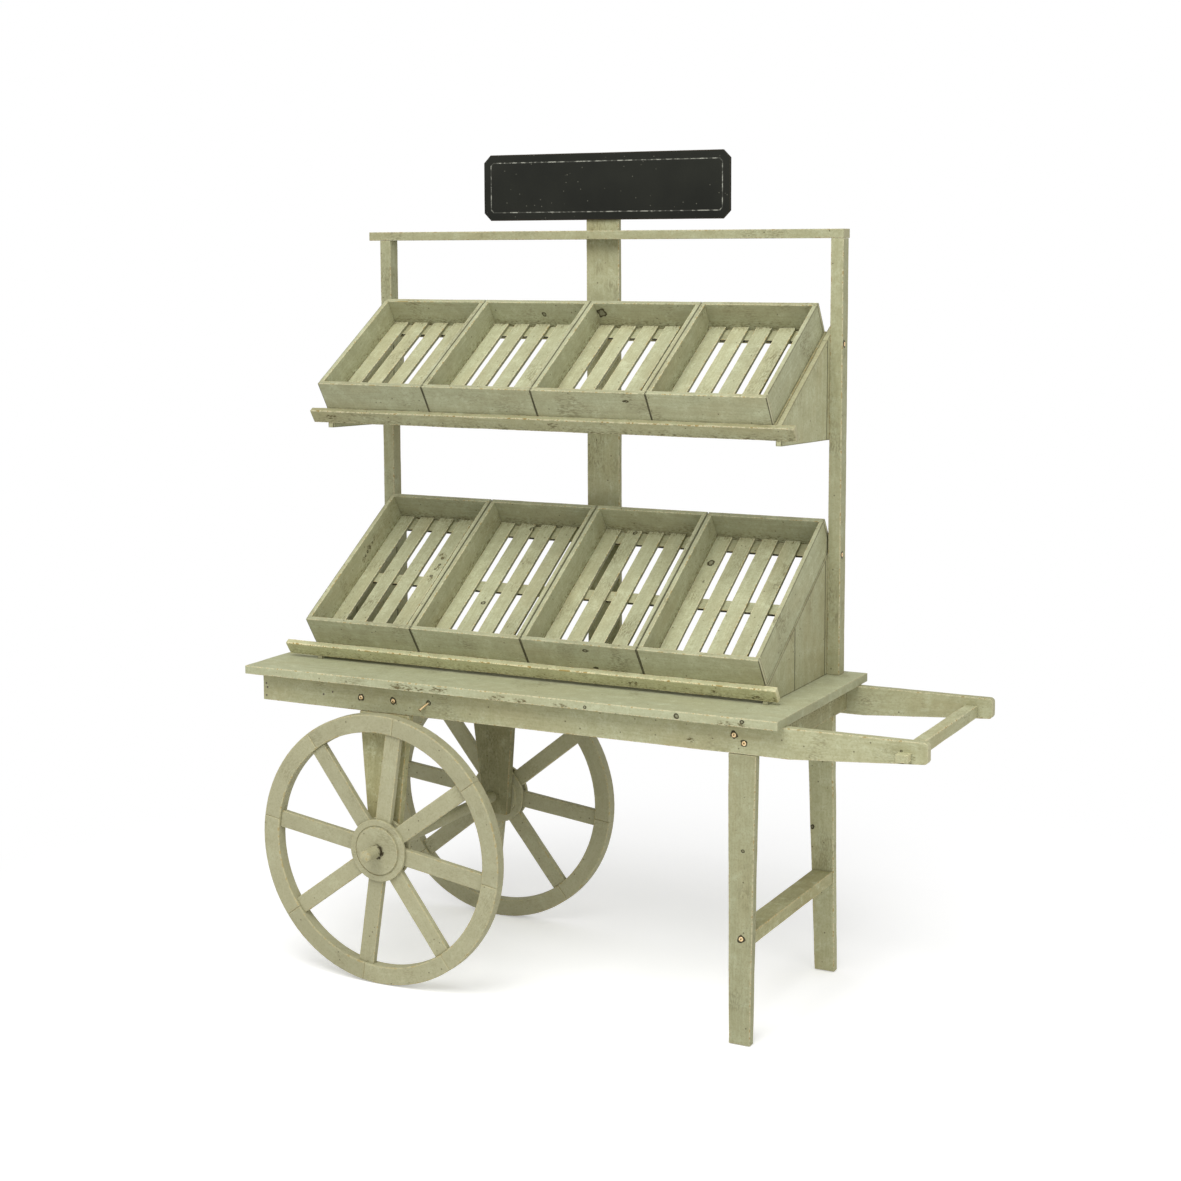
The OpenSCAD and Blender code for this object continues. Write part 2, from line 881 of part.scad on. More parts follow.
module lower_lip() {
    color(sage) on_lower() block(
        [x_post_l - lower_lip_over_l, -lip_t, -lower_lip_below],
        [x_rack_end - lower_lip_short_r, 0, lip_above]
    );
}

// Two battens from cheek to cheek, flush with the shelf, that carry the trays
module bearers(tray_l) {
    x0 = x_cheek_l + cheek_t + joint;
    x1 = x_cheek_r - joint;
    block([x0, joint, -front_bearer_h], [x1, bearer_w, 0]);
    block([x0, tray_l - bearer_w, -rear_bearer_h], [x1, tray_l, 0]);
}

module upper_bearers() {
    color(sage_dark) on_upper() bearers(upper_tray_l);
}

module lower_bearers() {
    color(sage_dark) on_lower() bearers(lower_tray_l);
}

// A short batten inside the right cheek, where the upper trays end short of it
module upper_runner() {
    color(sage_dark) on_upper() block(
        [x_cheek_r - joint - runner_w, bearer_w + joint, -runner_h],
        [x_cheek_r - joint, upper_tray_l - bearer_w - joint, 0]
    );
}

// The screws of one side's rail and leg, drawn as for the front
module rail_side_screws(side) {
    on_rail(rail_screws(side)) screw(rail_screw_l);
    on_leg() screw(screw_l);
}

module screws() {
    color(brass) {
        rail_side_screws(-1);
        mirror([0, 1, 0]) rail_side_screws(1);
        translate([stray_screw[0], -y_rail, stray_screw[1]]) rotate(stray_tilt)
            translate([0, stray_in - screw_l, 0]) screw(screw_l);
        on_right_post() screw(screw_l);
        mirror_rack() on_right_post() screw(screw_l);
    }
}

// The nails of one side's rail, drawn as for the front
module rail_side_nails() {
    on_rail(rail_nails) nail(nail_l);
    on_rail(short_nails) nail(short_nail_l);
}

module nails() {
    color(iron) {
        rail_side_nails();
        mirror([0, 1, 0]) rail_side_nails();
    }
}

// A tray's four walls: front and back boards across, side boards between them
module tray_walls(w, l, h) {
    block([0, 0, 0], [w, wall_t, h]);
    block([0, l - wall_t, 0], [w, l, h]);
    for (x = [0, w - wall_t])
        block([x, wall_t + joint, 0], [x + wall_t, l - wall_t - joint, h]);
}

// A tray's floor slats, on top of its battens, from the left wall
module tray_slats(l) {
    for (k = [0 : SLATS - 1]) {
        x = wall_t + joint + k * slat_pitch;
        block([x, wall_t + joint, batten_t], [x + slat_w, l - wall_t - joint, batten_t + slat_t]);
    }
}

// A tray's floor battens: one at each end and, in a long tray, one in the middle
module tray_battens(w, l, mid) {
    x0 = wall_t + joint;
    x1 = w - wall_t - joint;
    block([x0, x0, 0], [x1, x0 + batten_w, batten_t]);
    block([x0, l - x0 - batten_w, 0], [x1, l - x0, batten_t]);
    if (mid) block([x0, (l - mid_batten_w) / 2, 0], [x1, (l + mid_batten_w) / 2, batten_t]);
}

// Puts a tray's piece at its place on the upper or the lower shelf, counted from the left
module in_upper(i) {
    x = x_shelf + tray_side_l + i * (upper_tray_w + upper_tray_gap);
    color(sage) on_upper() translate([x, tray_seat, tray_seat]) children();
}

module in_lower(i) {
    x = x_shelf + tray_side_l + i * (lower_tray_w + lower_tray_gap);
    color(sage) on_lower() translate([x, tray_seat, tray_seat]) children();
}

module upper_walls(i) {
    in_upper(i) tray_walls(upper_tray_w, upper_tray_l, upper_tray_h);
}

module upper_slats(i) {
    in_upper(i) tray_slats(upper_tray_l);
}

module upper_battens(i) {
    in_upper(i) tray_battens(upper_tray_w, upper_tray_l, false);
}

module lower_walls(i) {
    in_lower(i) tray_walls(lower_tray_w, lower_tray_l, lower_tray_h);
}

module lower_slats(i) {
    in_lower(i) tray_slats(lower_tray_l);
}

module lower_battens(i) {
    in_lower(i) tray_battens(lower_tray_w, lower_tray_l, true);
}

deck();
front_rail();
rear_rail();
left_apron();
right_apron();
handle_crossbar();
front_leg();
rear_leg();
leg_stretcher();
front_axle_bracket();
rear_axle_bracket();
axle();
front_wheel_felloes();
front_wheel_spokes();
front_wheel_hub();
rear_wheel_felloes();
rear_wheel_spokes();
rear_wheel_hub();
left_post();
right_post();
centre_post();
top_rail();
sign_board();
upper_left_cheek();
upper_right_cheek();
lower_left_cheek();
lower_right_cheek();
upper_lip();
lower_lip();
upper_bearers();
lower_bearers();
upper_runner();
screws();
nails();
upper_walls(0);  // upper_tray_1_walls
upper_slats(0);  // upper_tray_1_slats
upper_battens(0);  // upper_tray_1_battens
upper_walls(1);  // upper_tray_2_walls
upper_slats(1);  // upper_tray_2_slats
upper_battens(1);  // upper_tray_2_battens
upper_walls(2);  // upper_tray_3_walls
upper_slats(2);  // upper_tray_3_slats
upper_battens(2);  // upper_tray_3_battens
upper_walls(3);  // upper_tray_4_walls
upper_slats(3);  // upper_tray_4_slats
upper_battens(3);  // upper_tray_4_battens
lower_walls(0);  // lower_tray_1_walls
lower_slats(0);  // lower_tray_1_slats
lower_battens(0);  // lower_tray_1_battens
lower_walls(1);  // lower_tray_2_walls
lower_slats(1);  // lower_tray_2_slats
lower_battens(1);  // lower_tray_2_battens
lower_walls(2);  // lower_tray_3_walls
lower_slats(2);  // lower_tray_3_slats
lower_battens(2);  // lower_tray_3_battens
lower_walls(3);  // lower_tray_4_walls
lower_slats(3);  // lower_tray_4_slats
lower_battens(3);  // lower_tray_4_battens
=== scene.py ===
# %% [markdown]
# # A two-wheeled display cart of washed pine
# The real cart is nailed together from thin sage-washed pine boards: a deck on two long rails that run
# on as handles, two spoked wooden wheels, two legs, and a stepped rack of eight slatted trays under a
# small blackboard. Its sizes are those of the CAD frame, in millimetres, +Z up, front at -Y.
# Every board is made here as one closed shape worked out with numpy, because a worn edge and the run
# of the grain are what the eye knows wood by, and a plain box has neither.

import math

import bpy
import numpy as np
from mathutils import Matrix, Vector


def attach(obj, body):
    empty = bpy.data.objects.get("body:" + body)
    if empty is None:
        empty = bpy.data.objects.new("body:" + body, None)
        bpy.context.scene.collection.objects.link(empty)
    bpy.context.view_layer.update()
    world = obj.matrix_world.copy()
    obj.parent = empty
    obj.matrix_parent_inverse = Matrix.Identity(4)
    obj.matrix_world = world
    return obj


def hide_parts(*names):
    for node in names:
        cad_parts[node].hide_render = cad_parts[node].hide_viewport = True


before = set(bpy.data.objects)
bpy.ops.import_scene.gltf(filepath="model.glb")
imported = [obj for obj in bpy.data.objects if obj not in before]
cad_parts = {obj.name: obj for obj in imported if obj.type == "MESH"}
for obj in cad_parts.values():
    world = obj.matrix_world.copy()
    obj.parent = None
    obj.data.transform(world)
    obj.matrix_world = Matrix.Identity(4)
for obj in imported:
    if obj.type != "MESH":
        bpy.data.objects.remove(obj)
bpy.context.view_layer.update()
MM = 0.001

# %% [markdown]
# ## The camera
# The photograph was taken from 27 degrees to the right of the front and 7 degrees above level, with a
# lens of about 63 mm. The picture was trimmed a little, so its middle lies above the optical axis; a
# small vertical shift gives that back. The camera's axes are written out as a matrix, because the
# small roll of a quarter of a degree is easier to read there than in three turns.

# %% Place the camera
LENS, AZIMUTH, ELEVATION, ROLL = 63.33, 27.047, 7.262, -0.255
AIM, DISTANCE, SHIFT = np.array([-0.0467, 0.0, 0.9480]), 4.1159, -0.0682


def camera_axes(azimuth, elevation, roll):
    """Right, up and back of a camera: back from the two angles, right level, both then rolled."""
    a, e, r = np.radians([azimuth, elevation, roll])
    back = np.array([np.sin(a) * np.cos(e), -np.cos(a) * np.cos(e), np.sin(e)])
    right = np.array([np.cos(a), np.sin(a), 0.0])
    up = np.cross(back, right)
    return np.cos(r) * right + np.sin(r) * up, np.cos(r) * up - np.sin(r) * right, back


right, up, back = camera_axes(AZIMUTH, ELEVATION, ROLL)
camera = bpy.data.objects.new("photo_camera", bpy.data.cameras.new("photo_camera"))
bpy.context.scene.collection.objects.link(camera)
turned_axes = np.column_stack([right, up, back, AIM + DISTANCE * back])
camera.matrix_world = Matrix(np.vstack([turned_axes, [0, 0, 0, 1]]).tolist())
camera.data.lens, camera.data.sensor_width, camera.data.shift_y = LENS, 36, SHIFT
bpy.context.scene.camera = camera
print("camera at", [round(v, 3) for v in camera.location])

# %% [markdown]
# ## Small tools
# Colours are written as sRGB hex, as a paint chart gives them, and turned to the linear light that a
# shader works in. One function adds a shader node with its settings and links. A wandering line stands
# for everything on a worn board that isn't quite straight.

# %% Colour, node and wandering line
SEED = 11
chance = np.random.default_rng(SEED)


def linear(code):
    """An sRGB hex colour as linear RGBA: small values are divided, the rest raised to 2.4."""
    c = np.array([int(code[i : i + 2], 16) for i in (1, 3, 5)]) / 255
    return (*np.where(c <= 0.04045, c / 12.92, ((c + 0.055) / 1.055) ** 2.4), 1.0)


def add(tree, kind, inputs=None, **settings):
    """Adds a node, sets its own settings, and sets or links its input sockets. A node given as an
    input stands for its first output."""
    made = tree.nodes.new("ShaderNode" + kind)
    for key, value in settings.items():
        setattr(made, key, value)
    for key, value in (inputs or {}).items():
        value = value.outputs[0] if isinstance(value, bpy.types.Node) else value
        if isinstance(value, bpy.types.NodeSocket):
            tree.links.new(value, made.inputs[key])
        else:
            made.inputs[key].default_value = value
    return made


def wander(s, wave):
    """0 to 1 along a length s: four sines, each shorter and weaker than the last, at chance phases."""
    parts = np.array([[1, 1], [0.58, 0.6], [0.31, 0.4], [0.13, 0.3]])
    phase = chance.uniform(0, 2 * np.pi, len(parts))
    angle = 2 * np.pi * s[:, None] / (wave * parts[:, 0]) + phase
    return 0.5 + 0.5 * (np.sin(angle) * parts[:, 1]).sum(1) / parts[:, 1].sum()


print("sage wash in linear light:", [round(float(v), 3) for v in linear("#b6b797")[:3]])

# %% [markdown]
# ## A board
# A sawn board has long edges that have been knocked and sanded, so they are rounded by a little more
# here and a little less there. A cube with a bevel would give every edge the same radius. Instead the
# board's outline is walked round once, and that closed line is carried through the thickness in ten
# rings: the flat face, the rounding, the edge's flat, and the same again on the other side. The rings
# next to a rounding lie close to it, so that the flats stay flat when the shape is shaded smooth.
# Each point also keeps where it is along the grain, how worn it is, whether it is on a sawn end or on a side
# darkened with painted shade, and how far it is from the line where grime, and on one board painted shade,
# gathers.

# %% Walk round an outline
GUARD = 1.5  # millimetres of flat kept beside each rounding
BESIDE = 0.6  # millimetres from a rounding's end to the guard point beside it
SHARP = 0.05  # the smallest radius left when a rounded corner is moved inwards
FINE_R = 4  # from this radius on a rounding is walked in nine points, below it in three
ARC, EDGE = 1.0, 0.0  # the two kinds of point
ROW = 12  # numbers kept for a point


def corner_rows(c, before, after, radius, clear):
    """One corner as rows of point, direction, kind, corner, bisector, sine of the half angle, side and
    radius. The arc runs between the two tangent points: directions from its centre are blended by angle.
    A guard point on each side stands clear of it, so that the outline can be moved inwards by `clear`."""
    to_b, to_a = (before - c) / np.linalg.norm(before - c), (after - c) / np.linalg.norm(after - c)
    n_in, n_out = np.array([-to_b[1], to_b[0]]), np.array([to_a[1], -to_a[0]])
    blank = [0, 0, 0, 0, 1, 1, 0]
    if radius == 0:
        n = n_in + n_out
        return np.array([[*c, *(n / np.linalg.norm(n)), EDGE, *blank]])
    half = 0.5 * np.arccos(np.clip(to_b @ to_a, -1, 1))
    bis = (to_b + to_a) / np.linalg.norm(to_b + to_a)
    side = 1.0 if to_b[1] * to_a[0] - to_b[0] * to_a[1] > 0 else -1.0
    tangent = radius / np.tan(half)
    centre = c + bis * radius / np.sin(half)
    d0, d1 = (c + to_b * tangent - centre) / radius, (c + to_a * tangent - centre) / radius
    sweep, t = np.pi - 2 * half, np.linspace(0, 1, 3 if radius < FINE_R else 9)[:, None]
    dirs = (np.sin((1 - t) * sweep) * d0 + np.sin(t * sweep) * d1) / np.sin(sweep)
    tail = np.array([ARC, *c, *bis, np.sin(half), side, radius])
    arc = np.hstack([centre + radius * dirs, dirs, np.tile(tail, (len(dirs), 1))])
    reach = max(tangent, clear / np.tan(half)) + BESIDE
    guards = [[*(c + d * reach), *n, EDGE, *blank] for d, n in ((to_b, n_in), (to_a, n_out))]
    return np.vstack([guards[:1], arc, guards[1:]])


def outline_rows(corners, radii, step, clear):
    """The whole outline, anticlockwise: each corner's rows, and points every `step` along the edges."""
    c = np.asarray(corners, float)
    r = np.broadcast_to(np.asarray(radii, float), len(c))
    groups = [corner_rows(c[i], c[i - 1], c[(i + 1) % len(c)], r[i], clear) for i in range(len(c))]
    rows = []
    for this, following in zip(groups, groups[1:] + groups[:1]):
        rows.append(this)
        a, b = this[-1, :2], following[0, :2]
        count = int(np.linalg.norm(b - a) // step)
        t = np.linspace(0, 1, count + 2)[1:-1, None]
        run = (b - a) / np.linalg.norm(b - a)
        extra = np.zeros((count, ROW))
        extra[:, :2], extra[:, 2:4], extra[:, 9:11] = a + t * (b - a), [run[1], -run[0]], 1
        rows.append(extra)
    return np.vstack(rows)


def inset(rows, d):
    """The outline moved inwards by d: edge points along their normal, arc points with their centre."""
    p, n, c, b = rows[:, :2], rows[:, 2:4], rows[:, 5:7], rows[:, 7:9]
    sine, side, radius = rows[:, 9], rows[:, 10], rows[:, 11]
    left = np.maximum(radius - side * d, SHARP)
    arc = c + b * ((side * d + left) / sine)[:, None] + n * left[:, None]
    return np.where(rows[:, 4:5] > 0, arc, p - n * d[:, None])


square = outline_rows([(0, 0), (40, 0), (40, 20), (0, 20)], 1.2, 10, 3)
print("a 40 by 20 mm board end is walked in", len(square), "points")

# %% Carry the outline through the thickness
FAR = (0, 0, 0, 1000)  # a grime-and-shade line that no point of the board comes near
STRIDE, WEAR_WAVE, WOBBLE_WAVE = 10, 170, 260  # millimetres between points, and of the waves along an edge


def slab(corners, thick, origin, axes, along=0.0, radii=1.2, edge=0.7, wear=0.8, wobble=0.3, ends=0.4,
         rims=(1, 1), sides=0.0, nook=FAR, tone=(0, 1)):
    """A board: ring k of the outline is moved inwards by inset_k and down by depth_k, where both follow
    a quarter circle whose radius wanders along the edge. `axes` are the outline's two directions and
    the thickness's; `along` is the angle of the grain in the outline's plane, in degrees; `ends` is how
    worn the edges of the sawn ends are, and `rims` the long edges of the first and second face, below 0
    for a dark joint; `sides` is how much painted shade darkens the long sides; `nook` gives the distance
    to the line where grime gathers, and on the right apron painted shade, as a straight function
    a u + b v + e depth + c; `tone` is the range the board's lightness is drawn from, 0 to 1 for most."""
    gap = max(0.3, min(GUARD, thick / 2 - edge - wear - 0.2))
    rows = outline_rows(corners, radii, STRIDE, edge + wear + gap + wobble)
    n = len(rows)
    s = np.append(0, np.cumsum(np.linalg.norm(np.diff(rows[:, :2], axis=0), axis=1)))
    r0, r1 = (edge + wear * wander(s, WEAR_WAVE) ** 2 for _ in range(2))
    quarter = 1 - math.sqrt(0.5)
    low = wobble * wander(s, WOBBLE_WAVE)
    zero = 0 * s
    insets = [r0 + gap, r0, quarter * r0, zero, zero, zero, zero, quarter * r1, r1, r1 + gap]
    depths = [zero, zero, quarter * r0, r0, r0 + gap, thick - r1 - gap, thick - r1, thick - quarter * r1,
              zero + thick, zero + thick]
    uv = np.stack([inset(rows, i + low) for i in insets])
    deep = np.stack(depths)
    u_axis, v_axis, n_axis = np.asarray(axes, float)
    verts = np.asarray(origin, float) + uv[..., :1] * u_axis + uv[..., 1:] * v_axis
    verts = verts + deep[..., None] * n_axis
    a = math.radians(along)
    run, over = np.array([math.cos(a), math.sin(a)]), np.array([-math.sin(a), math.cos(a)])
    grain = np.stack([uv @ run, uv @ over, deep], -1) * MM + chance.uniform(1, 20, 3)
    facing = np.abs(rows[:, 2:4] @ run)  # 1 on a sawn end, 0 on a long side
    long_edge = np.repeat(rims, 5)[:, None]
    rounded = np.array([0, 1, 1, 1, 0, 0, 1, 1, 1, 0])[:, None]
    worn = rounded * np.where(facing > 0.7, ends, long_edge)
    worn[3:7] = np.where(rows[:, 4] > 0, 0.4 * ends, worn[3:7])
    cut = np.zeros((10, n))
    cut[2:8] = facing**4
    flank = np.zeros((10, n))
    flank[3:7] = sides * (1 - facing**4)
    grime_and_shade_line = (uv @ np.array(nook[:2], float) + nook[2] * deep + nook[3]) * MM
    index = np.arange(10 * n).reshape(10, n)
    quads = np.stack([index[:-1], np.roll(index, -1, 1)[:-1], np.roll(index, -1, 1)[1:], index[1:]], -1)
    faces = quads.reshape(-1, 4).tolist() + [index[0, ::-1].tolist(), index[-1].tolist()]
    if np.linalg.det(np.asarray(axes, float)) < 0:
        faces = [f[::-1] for f in faces]
    shade = np.full(10 * n, chance.uniform(*tone))
    return (verts.reshape(-1, 3), faces, grain.reshape(-1, 3), worn.ravel(), cut.ravel(), shade,
            flank.ravel(), grime_and_shade_line.ravel())


FLAT = (np.eye(3), np.zeros(3))


def beam(low, high, place=FLAT, **how):
    """A plain board between two corners: the shortest side is its thickness, the longest its grain."""
    turn, shift = place
    low, size = np.asarray(low, float), np.asarray(high, float) - np.asarray(low, float)
    t, v, u = np.argsort(size, kind="stable")
    corners = [(0, 0), (size[u], 0), (size[u], size[v]), (0, size[v])]
    return slab(corners, size[t], turn @ low + shift, (turn @ np.eye(3)[[u, v, t]].T).T, **how)


trial = beam((0, 0, 0), (300, 20, 60))
print("a trial board has", len(trial[0]), "points and", len(trial[1]), "faces")

# %% Turn a profile on a lathe
CHIP_WAVE = 0.9  # radians round the end of a chipped bar
STEPS_ROUND = 96


def lathe(profile, centre, worn, closed=False, turns=STEPS_ROUND, grain_turn=0.0, ragged=None):
    """A turned piece round the Y axis: each point (r, y) goes to centre + (r cos t, y, r sin t). A closed
    profile is joined to itself, another gets two flat ends."""
    profile = np.asarray(profile, float)
    t = np.linspace(0, 2 * np.pi, turns, endpoint=False)[:, None]
    r, y = profile[None, :, 0], profile[None, :, 1]
    if ragged is not None:
        r = r * (1 - ragged[None, :] * wander(t[:, 0], CHIP_WAVE)[:, None])
    flat = np.stack([r * np.cos(t), y + 0 * t, r * np.sin(t)], -1)
    a = math.radians(grain_turn)
    run = flat[..., 0] * math.cos(a) + flat[..., 2] * math.sin(a)
    over = flat[..., 2] * math.cos(a) - flat[..., 0] * math.sin(a)
    grain = np.stack([run, over, flat[..., 1]], -1) * MM + chance.uniform(1, 20, 3)
    m = len(profile)
    index = np.arange(turns * m).reshape(turns, m)
    nxt = np.roll(index, -1, 0)
    if closed:
        quads = np.stack([index, np.roll(index, -1, 1), np.roll(nxt, -1, 1), nxt], -1)
        caps = []
    else:
        quads = np.stack([index[:, :-1], index[:, 1:], nxt[:, 1:], nxt[:, :-1]], -1)
        caps = [index[:, 0].tolist(), index[::-1, -1].tolist()]
    verts = flat + np.asarray(centre, float)
    size = turns * m
    shade = np.full(size, chance.uniform(0, 1))
    return (verts.reshape(-1, 3), quads.reshape(-1, 4).tolist() + caps, grain.reshape(-1, 3),
            np.tile(worn, turns), np.zeros(size), shade, np.zeros(size), np.ones(size))


print("a turned piece goes round in", STEPS_ROUND, "steps, unless it says otherwise")

# %% Mirror a shape, and join shapes into a piece
def mirrored(part):
    """The same piece on the other side of the cart: y changes its sign and the faces turn round."""
    return (part[0] * [1, -1, 1], [f[::-1] for f in part[1]], *part[2:])


made_pieces = []
FINISHES = {}  # each slot's material


def piece(name, parts, slot, node, body="frame"):
    """Joins boards into one piece in metres, in the finish of its slot, hands it to a body, and lets it
    stand for a CAD node."""
    starts = np.append(0, np.cumsum([len(p[0]) for p in parts]))
    faces = [[i + int(k) for i in f] for p, k in zip(parts, starts) for f in p[1]]
    mesh = bpy.data.meshes.new(name)
    mesh.from_pydata(np.vstack([p[0] for p in parts]) * MM, [], faces)
    for at, label in enumerate(("grain", "worn", "cut", "tone", "flank", "nook"), 2):
        values = np.concatenate([p[at] for p in parts]).astype(np.float32).ravel()
        kind, field = ("FLOAT_VECTOR", "vector") if label == "grain" else ("FLOAT", "value")
        mesh.attributes.new(label, kind, "POINT").data.foreach_set(field, values)
    mesh.polygons.foreach_set("use_smooth", np.ones(len(mesh.polygons), bool))
    mesh.materials.append(FINISHES[slot])
    mesh.update()
    made = bpy.data.objects.new(name, mesh)
    bpy.context.scene.collection.objects.link(made)
    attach(made, body)
    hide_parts(node)
    made_pieces.append(made)


print("board, lathe and piece are ready")

# %% [markdown]
# ## Washed pine
# The boards are soft pine under a thin sage wash: the wash sinks into the early wood and stays greyer
# on the late wood, so fine stripes run along each board, with small knots and brown specks showing
# through. Where an edge was sanded the wash is gone and a beige, slightly yellow line is left. All of
# it is drawn from the board's own grain coordinates, which are in metres, so one builder serves every
# board whichever way it lies. A picture of wood would show its repeats on forty slats side by side.

# %% Lay colours over one another
# A colour Mix node has sockets for every kind of value: these are the places of its colour ones
MIX_A, MIX_B, MIX_OUT = 6, 7, 2


def bare_material(name):
    """A new material and its node tree, with nothing in it."""
    material = bpy.data.materials.new(name)
    material.use_nodes = True
    material.node_tree.nodes.clear()
    return material, material.node_tree


def painted(t, ground, layers):
    """A ground colour under a stack of layers: each is a mask and the colour that it lays over those
    before it."""
    colour = linear(ground)
    for mask, over in layers:
        mixed = add(t, "Mix", {0: mask, MIX_A: colour, MIX_B: linear(over)}, data_type="RGBA")
        colour = mixed.outputs[MIX_OUT]
    return colour


def dark_ring(t, distance, ragged, size):
    """Dark from about `size` inwards and half as dark again in the heart; noise makes the ring uneven."""
    uneven = add(t, "Math", {0: ragged, 1: 1.2 * size, 2: distance}, operation="MULTIPLY_ADD")
    outer = add(t, "MapRange", {"Value": uneven, "From Min": size * 1.6, "From Max": size * 1.4})
    heart = add(t, "MapRange", {"Value": uneven, "From Min": size * 1.2, "From Max": size, "To Max": 0.5})
    return add(t, "Math", {0: outer, 1: heart}, operation="SUBTRACT")


def from_place(t, x, y, z, stretch=1.0):
    """The distance to a place on the cart, in metres, where metres along X count less by `stretch`."""
    here = add(t, "TexCoord").outputs["Object"]
    away = add(t, "VectorMath", {0: here, 1: (x * MM, y * MM, z * MM)}, operation="SUBTRACT")
    drawn = add(t, "VectorMath", {0: away, 1: (1 / stretch, 1, 1)}, operation="MULTIPLY")
    return add(t, "VectorMath", {0: drawn}, operation="LENGTH").outputs["Value"]


print("colours in layers, rings of a knot, and distances from a place")

# %% The brushed wash
THICK_WASH = "#c8ccaa"


def wash_layers(t, grain, sway, cloud, shade, warm, stripes, clouds):
    """The layers of a brushed wash over its stripes, and the height of the grain under it."""
    # Growth rings cut by the saw: stripes about 4 mm wide and a hand long
    broad = add(t, "VectorMath", {0: sway, 1: (7, 240, 90)}, operation="MULTIPLY")
    rings = add(t, "TexNoise", {"Vector": broad, "Scale": 1, "Detail": 4, "Roughness": 0.62})
    stripe = add(t, "MapRange", {"Value": rings, "From Min": 0.35, "From Max": 0.7, "To Max": stripes})
    # The pores between them: streaks about 1.5 mm wide, the finest that still show
    narrow = add(t, "VectorMath", {0: sway, 1: (40, 650, 500)}, operation="MULTIPLY")
    pores = add(t, "TexNoise", {"Vector": narrow, "Scale": 1, "Detail": 2})
    streak = add(t, "MapRange", {"Value": pores, "From Min": 0.5, "From Max": 0.72, "To Max": 0.6 * stripes})
    # Warm clouds a hand or so long
    warmth = add(t, "MapRange", {"Value": cloud, "From Min": 0.45, "From Max": 0.72, "To Max": clouds})
    # The brushed wash itself is thicker and thinner in patches the size of a thumb
    thumb = add(t, "TexNoise", {"Vector": grain, "Scale": 38, "Detail": 6, "Roughness": 0.7})
    thin = add(t, "MapRange", {"Value": thumb, "From Min": 0.5, "From Max": 0.66, "To Max": clouds})
    thick = add(t, "MapRange", {"Value": thumb, "From Min": 0.47, "From Max": 0.33, "To Max": clouds})
    # Where it dried on the pores it is mottled in spots of 3 mm or so
    mottle = add(t, "TexNoise", {"Vector": grain, "Scale": 240, "Detail": 3, "Roughness": 0.7})
    mottled = add(t, "MapRange", {"Value": mottle, "From Min": 0.5, "From Max": 0.62, "To Max": 0.55})
    height = add(t, "Math", {0: rings, 1: 0.6, 2: pores}, operation="MULTIPLY_ADD")
    return [(stripe, shade), (warmth, warm), (streak, shade), (thin, shade), (thick, THICK_WASH),
            (mottled, shade)], height


print("the wash is six layers, the thickest", THICK_WASH)

# %% Knots, grime, painted shade and specks
def knot_and_shade_mask(t, sway, chips, knots, spots):
    """One cell in a few holds a knot, an uneven ring some 8 mm across and twice as long; the knots and
    the rings of painted shade that have a certain place are added."""
    cells = add(t, "VectorMath", {0: sway, 1: (8, 13, 13)}, operation="MULTIPLY")
    cell = add(t, "TexVoronoi", {"Vector": cells, "Scale": 1})
    pick = add(t, "SeparateColor", {0: cell.outputs["Color"]})
    some = add(t, "Math", {0: pick, 1: 1 - 0.6 * knots}, operation="GREATER_THAN")
    oval = dark_ring(t, cell.outputs["Distance"], chips, 0.06)
    mask = add(t, "Math", {0: oval, 1: some}, operation="MULTIPLY")
    for x, y, z, size in spots:
        one = dark_ring(t, from_place(t, x, y, z), chips, size * MM)
        mask = add(t, "Math", {0: mask, 1: one}, operation="MAXIMUM")
    return mask


def grime_and_shade_mask(t, grain, chips, nook, grime, stains_and_shade):
    """Grime sits in patches, along the line where boards meet, and in the stains that have a certain
    place; the line on the right apron and the places round the tenon carry painted shade instead. All of
    it is broken up by the pores."""
    patch = add(t, "TexNoise", {"Vector": grain, "Scale": 13, "Detail": 3})
    grime_and_shade = add(t, "MapRange", {"Value": patch, "From Min": 0.54, "From Max": 0.7, "To Max": grime})
    uneven = add(t, "Math", {0: chips, 1: 0.05, 2: nook}, operation="MULTIPLY_ADD")
    gathered = add(t, "MapRange", {"Value": uneven, "From Min": 0.042, "From Max": 0.018})
    grime_and_shade = add(t, "Math", {0: grime_and_shade, 1: gathered}, operation="MAXIMUM")
    for x, y, z, size, stretch in stains_and_shade:
        share = add(t, "Math", {0: from_place(t, x, y, z, stretch), 1: 1 / (size * MM), 2: chips},
                    operation="MULTIPLY_ADD")
        blot = add(t, "MapRange", {"Value": share, "From Min": 1.25, "From Max": 0.9})
        grime_and_shade = add(t, "Math", {0: grime_and_shade, 1: blot}, operation="MAXIMUM")
    fine = add(t, "VectorMath", {0: grain, 1: (130, 420, 420)}, operation="MULTIPLY")
    crumbs = add(t, "TexNoise", {"Vector": fine, "Scale": 1, "Detail": 3})
    broken = add(t, "MapRange", {"Value": crumbs, "From Min": 0.44, "From Max": 0.6})
    return add(t, "Math", {0: grime_and_shade, 1: broken}, operation="MULTIPLY")


def speck_mask(t, grain):
    """Brown specks of a millimetre or so: one cell in eight holds one."""
    speck = add(t, "TexVoronoi", {"Vector": grain, "Scale": 95})
    pick = add(t, "SeparateColor", {0: speck.outputs["Color"]})
    few = add(t, "Math", {0: pick, 1: 0.88}, operation="GREATER_THAN")
    dot = add(t, "MapRange", {"Value": speck.outputs["Distance"], "From Min": 0.2, "From Max": 0.1,
                              "To Max": 0.75})
    return add(t, "Math", {0: dot, 1: few}, operation="MULTIPLY")


print("masks for knots, grime and specks")

# %% Build a washed pine
SHADED_SIDE, SHADED_END, JOINT_DARK = "#3c3c32", "#6f6a48", "#3d3826"
KNOT_AND_SHADE, GRIME_AND_SHADE, SPECK, OCHRE = "#3f3927", "#655c3c", "#575037", "#a08a52"


